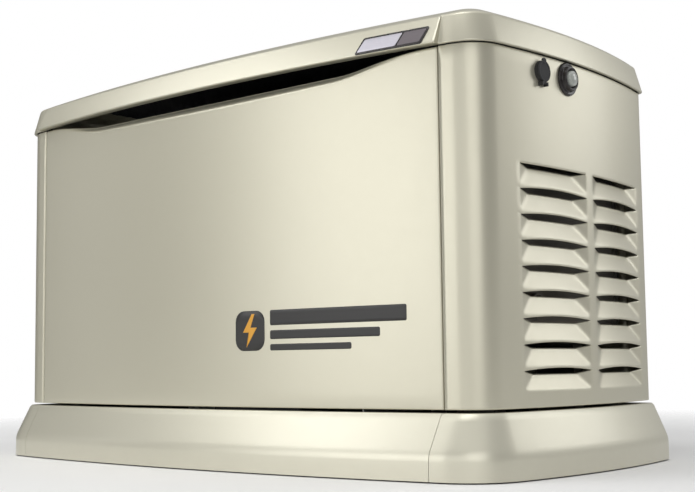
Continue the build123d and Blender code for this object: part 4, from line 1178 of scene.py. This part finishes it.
def makeControlFace():
    facePlate("screenGlass", (24, 116), (88, 122), 4.0, 4.6, 3, "gloss_black", "screen")
    for k, width in enumerate((40, 64, 54, 72)):
        low = 94 + k * 6
        facePlate(f"screenLine{k}", (30, 30 + width), (low, low + 2.5), 4.5, 4.8, 0.8, "gloss_black", "glow")
    for x, ink in ((205, "green"), (235, "red"), (265, "blue")):
        facePlate(f"{ink}Lamp", (x - 3, x + 3), (113, 119), 2.8, 4.2, 1.5, f"button_{ink}")
    facePlate("faceRule", (184, 286), (74, 75.2), 2.9, 3.15, 0.5, "badge_plate")
    print("control face made")


batteryLook = {
    "capX": 11, "capStep": 34, "capY": -150, "top": 204,
    "cap": [(11, -2), (11, 2.4), (10, 3.4), (4.5, 3.4), (4.2, 2.4), (0.2, 2.4)],
    "ribX": (2, 190), "ribYs": (-218, -76),
}


def makeBatteryCaps():
    b = batteryLook
    build = bmesh.new()
    for k in range(6):
        turned(build, (b["capX"] + k * b["capStep"], b["capY"], b["top"]), b["cap"], "z", 32)
    finishMesh("ventCaps", build, "root", "battery_case", outward=facing(0, 0, 1), crease=30)
    build = bmesh.new()
    x0, x1 = b["ribX"]
    for y in b["ribYs"]:
        corners = [(x, y + side * 3, b["top"] + 2) for x, side in ((x0, -1), (x1, -1), (x1, 1), (x0, 1))]
        slab(build, corners, 3, 2.5, (0, 0, 1))
    finishMesh("batteryRibs", build, "root", "battery_case", outward=facing(0, 0, 1), crease=30)
    print("battery details made")


rearLook = {
    "inlet": (105, 0, 140), "conduit": (-60, 0, 140), "threadY": 288, "pitch": 1.85, "turns": 12,
    "crest": 11.2, "root": 12.05, "outer": 12.4, "mouth": 310.4,
    "grommet": [(17.4, 280), (17.4, 285.4), (18.4, 286.4), (22.5, 286.4), (23.5, 285.4), (23.5, 283.2), (19, 283.2),
                (19, 280)],
}


def makeRearFittings():
    r = rearLook
    thread = []
    for k in range(r["turns"]):
        y = r["threadY"] + k * r["pitch"]
        thread += [(r["root"], y), (r["crest"], y + r["pitch"] / 2)]
    thread += [(r["root"], r["mouth"]), (r["outer"], r["mouth"]), (r["outer"], r["threadY"])]
    for name, place, ring, slot, way, crease in (
            ("inletThread", r["inlet"], thread, "zinc_steel", -1, 35),
            ("conduitGrommet", r["conduit"], r["grommet"], "black_rubber", 1, 40)):
        build = bmesh.new()
        turned(build, place, ring + ring[:1], "y", 48)
        middle = Vector(place) * mm
        finishMesh(name, build, "root", slot, crease=crease, outward=lambda p: (p - middle) * Vector((way, 0, way)))
    print("rear fittings made")


# floor

def makeFloor():
    build = bmesh.new()
    addGrid(build, [[Vector((x, y, 0)) for x in span(-9, 9, 6)] for y in span(-9, 9, 6)])
    mesh = bpy.data.meshes.new("floor")
    build.to_mesh(mesh)
    build.free()
    floor = bpy.data.objects.new("floor", mesh)
    bpy.context.scene.collection.objects.link(floor)
    f = Finish("paleFloor")
    tone = f.mixed(f.noise(2, 2), (0.90, 0.90, 0.90), (0.93, 0.93, 0.93))
    reach = f.make("ShaderNodeVectorMath", {"operation": "LENGTH"}, {0: f.place}, 1)
    fade = ((2.4 - reach) / 1.3).clamped()    # the floor runs out into the white room
    mesh.materials.append(f.set(Base_Color=tone, Roughness=0.7, Alpha=fade))


makeCamera()
makeLights()
makeFloor()
dressCadNodes()
makeBase()
endPanel("rightEndPanel", "right_end_panel", 1)
endPanel("leftEndPanel", "left_end_panel", -1)
backPanel()
frontPanel()
makeLid()
makeBadge()
makeStrip()
makeSwitch()
makeLockCover("rightLockCover", "right_lock_cover", "right_flap", 1)
makeLockCover("leftLockCover", "left_lock_cover", "left_flap", -1)
print("lock covers made")
makeBolts()
makeFoam()
makeControlFace()
makeBatteryCaps()
makeRearFittings()
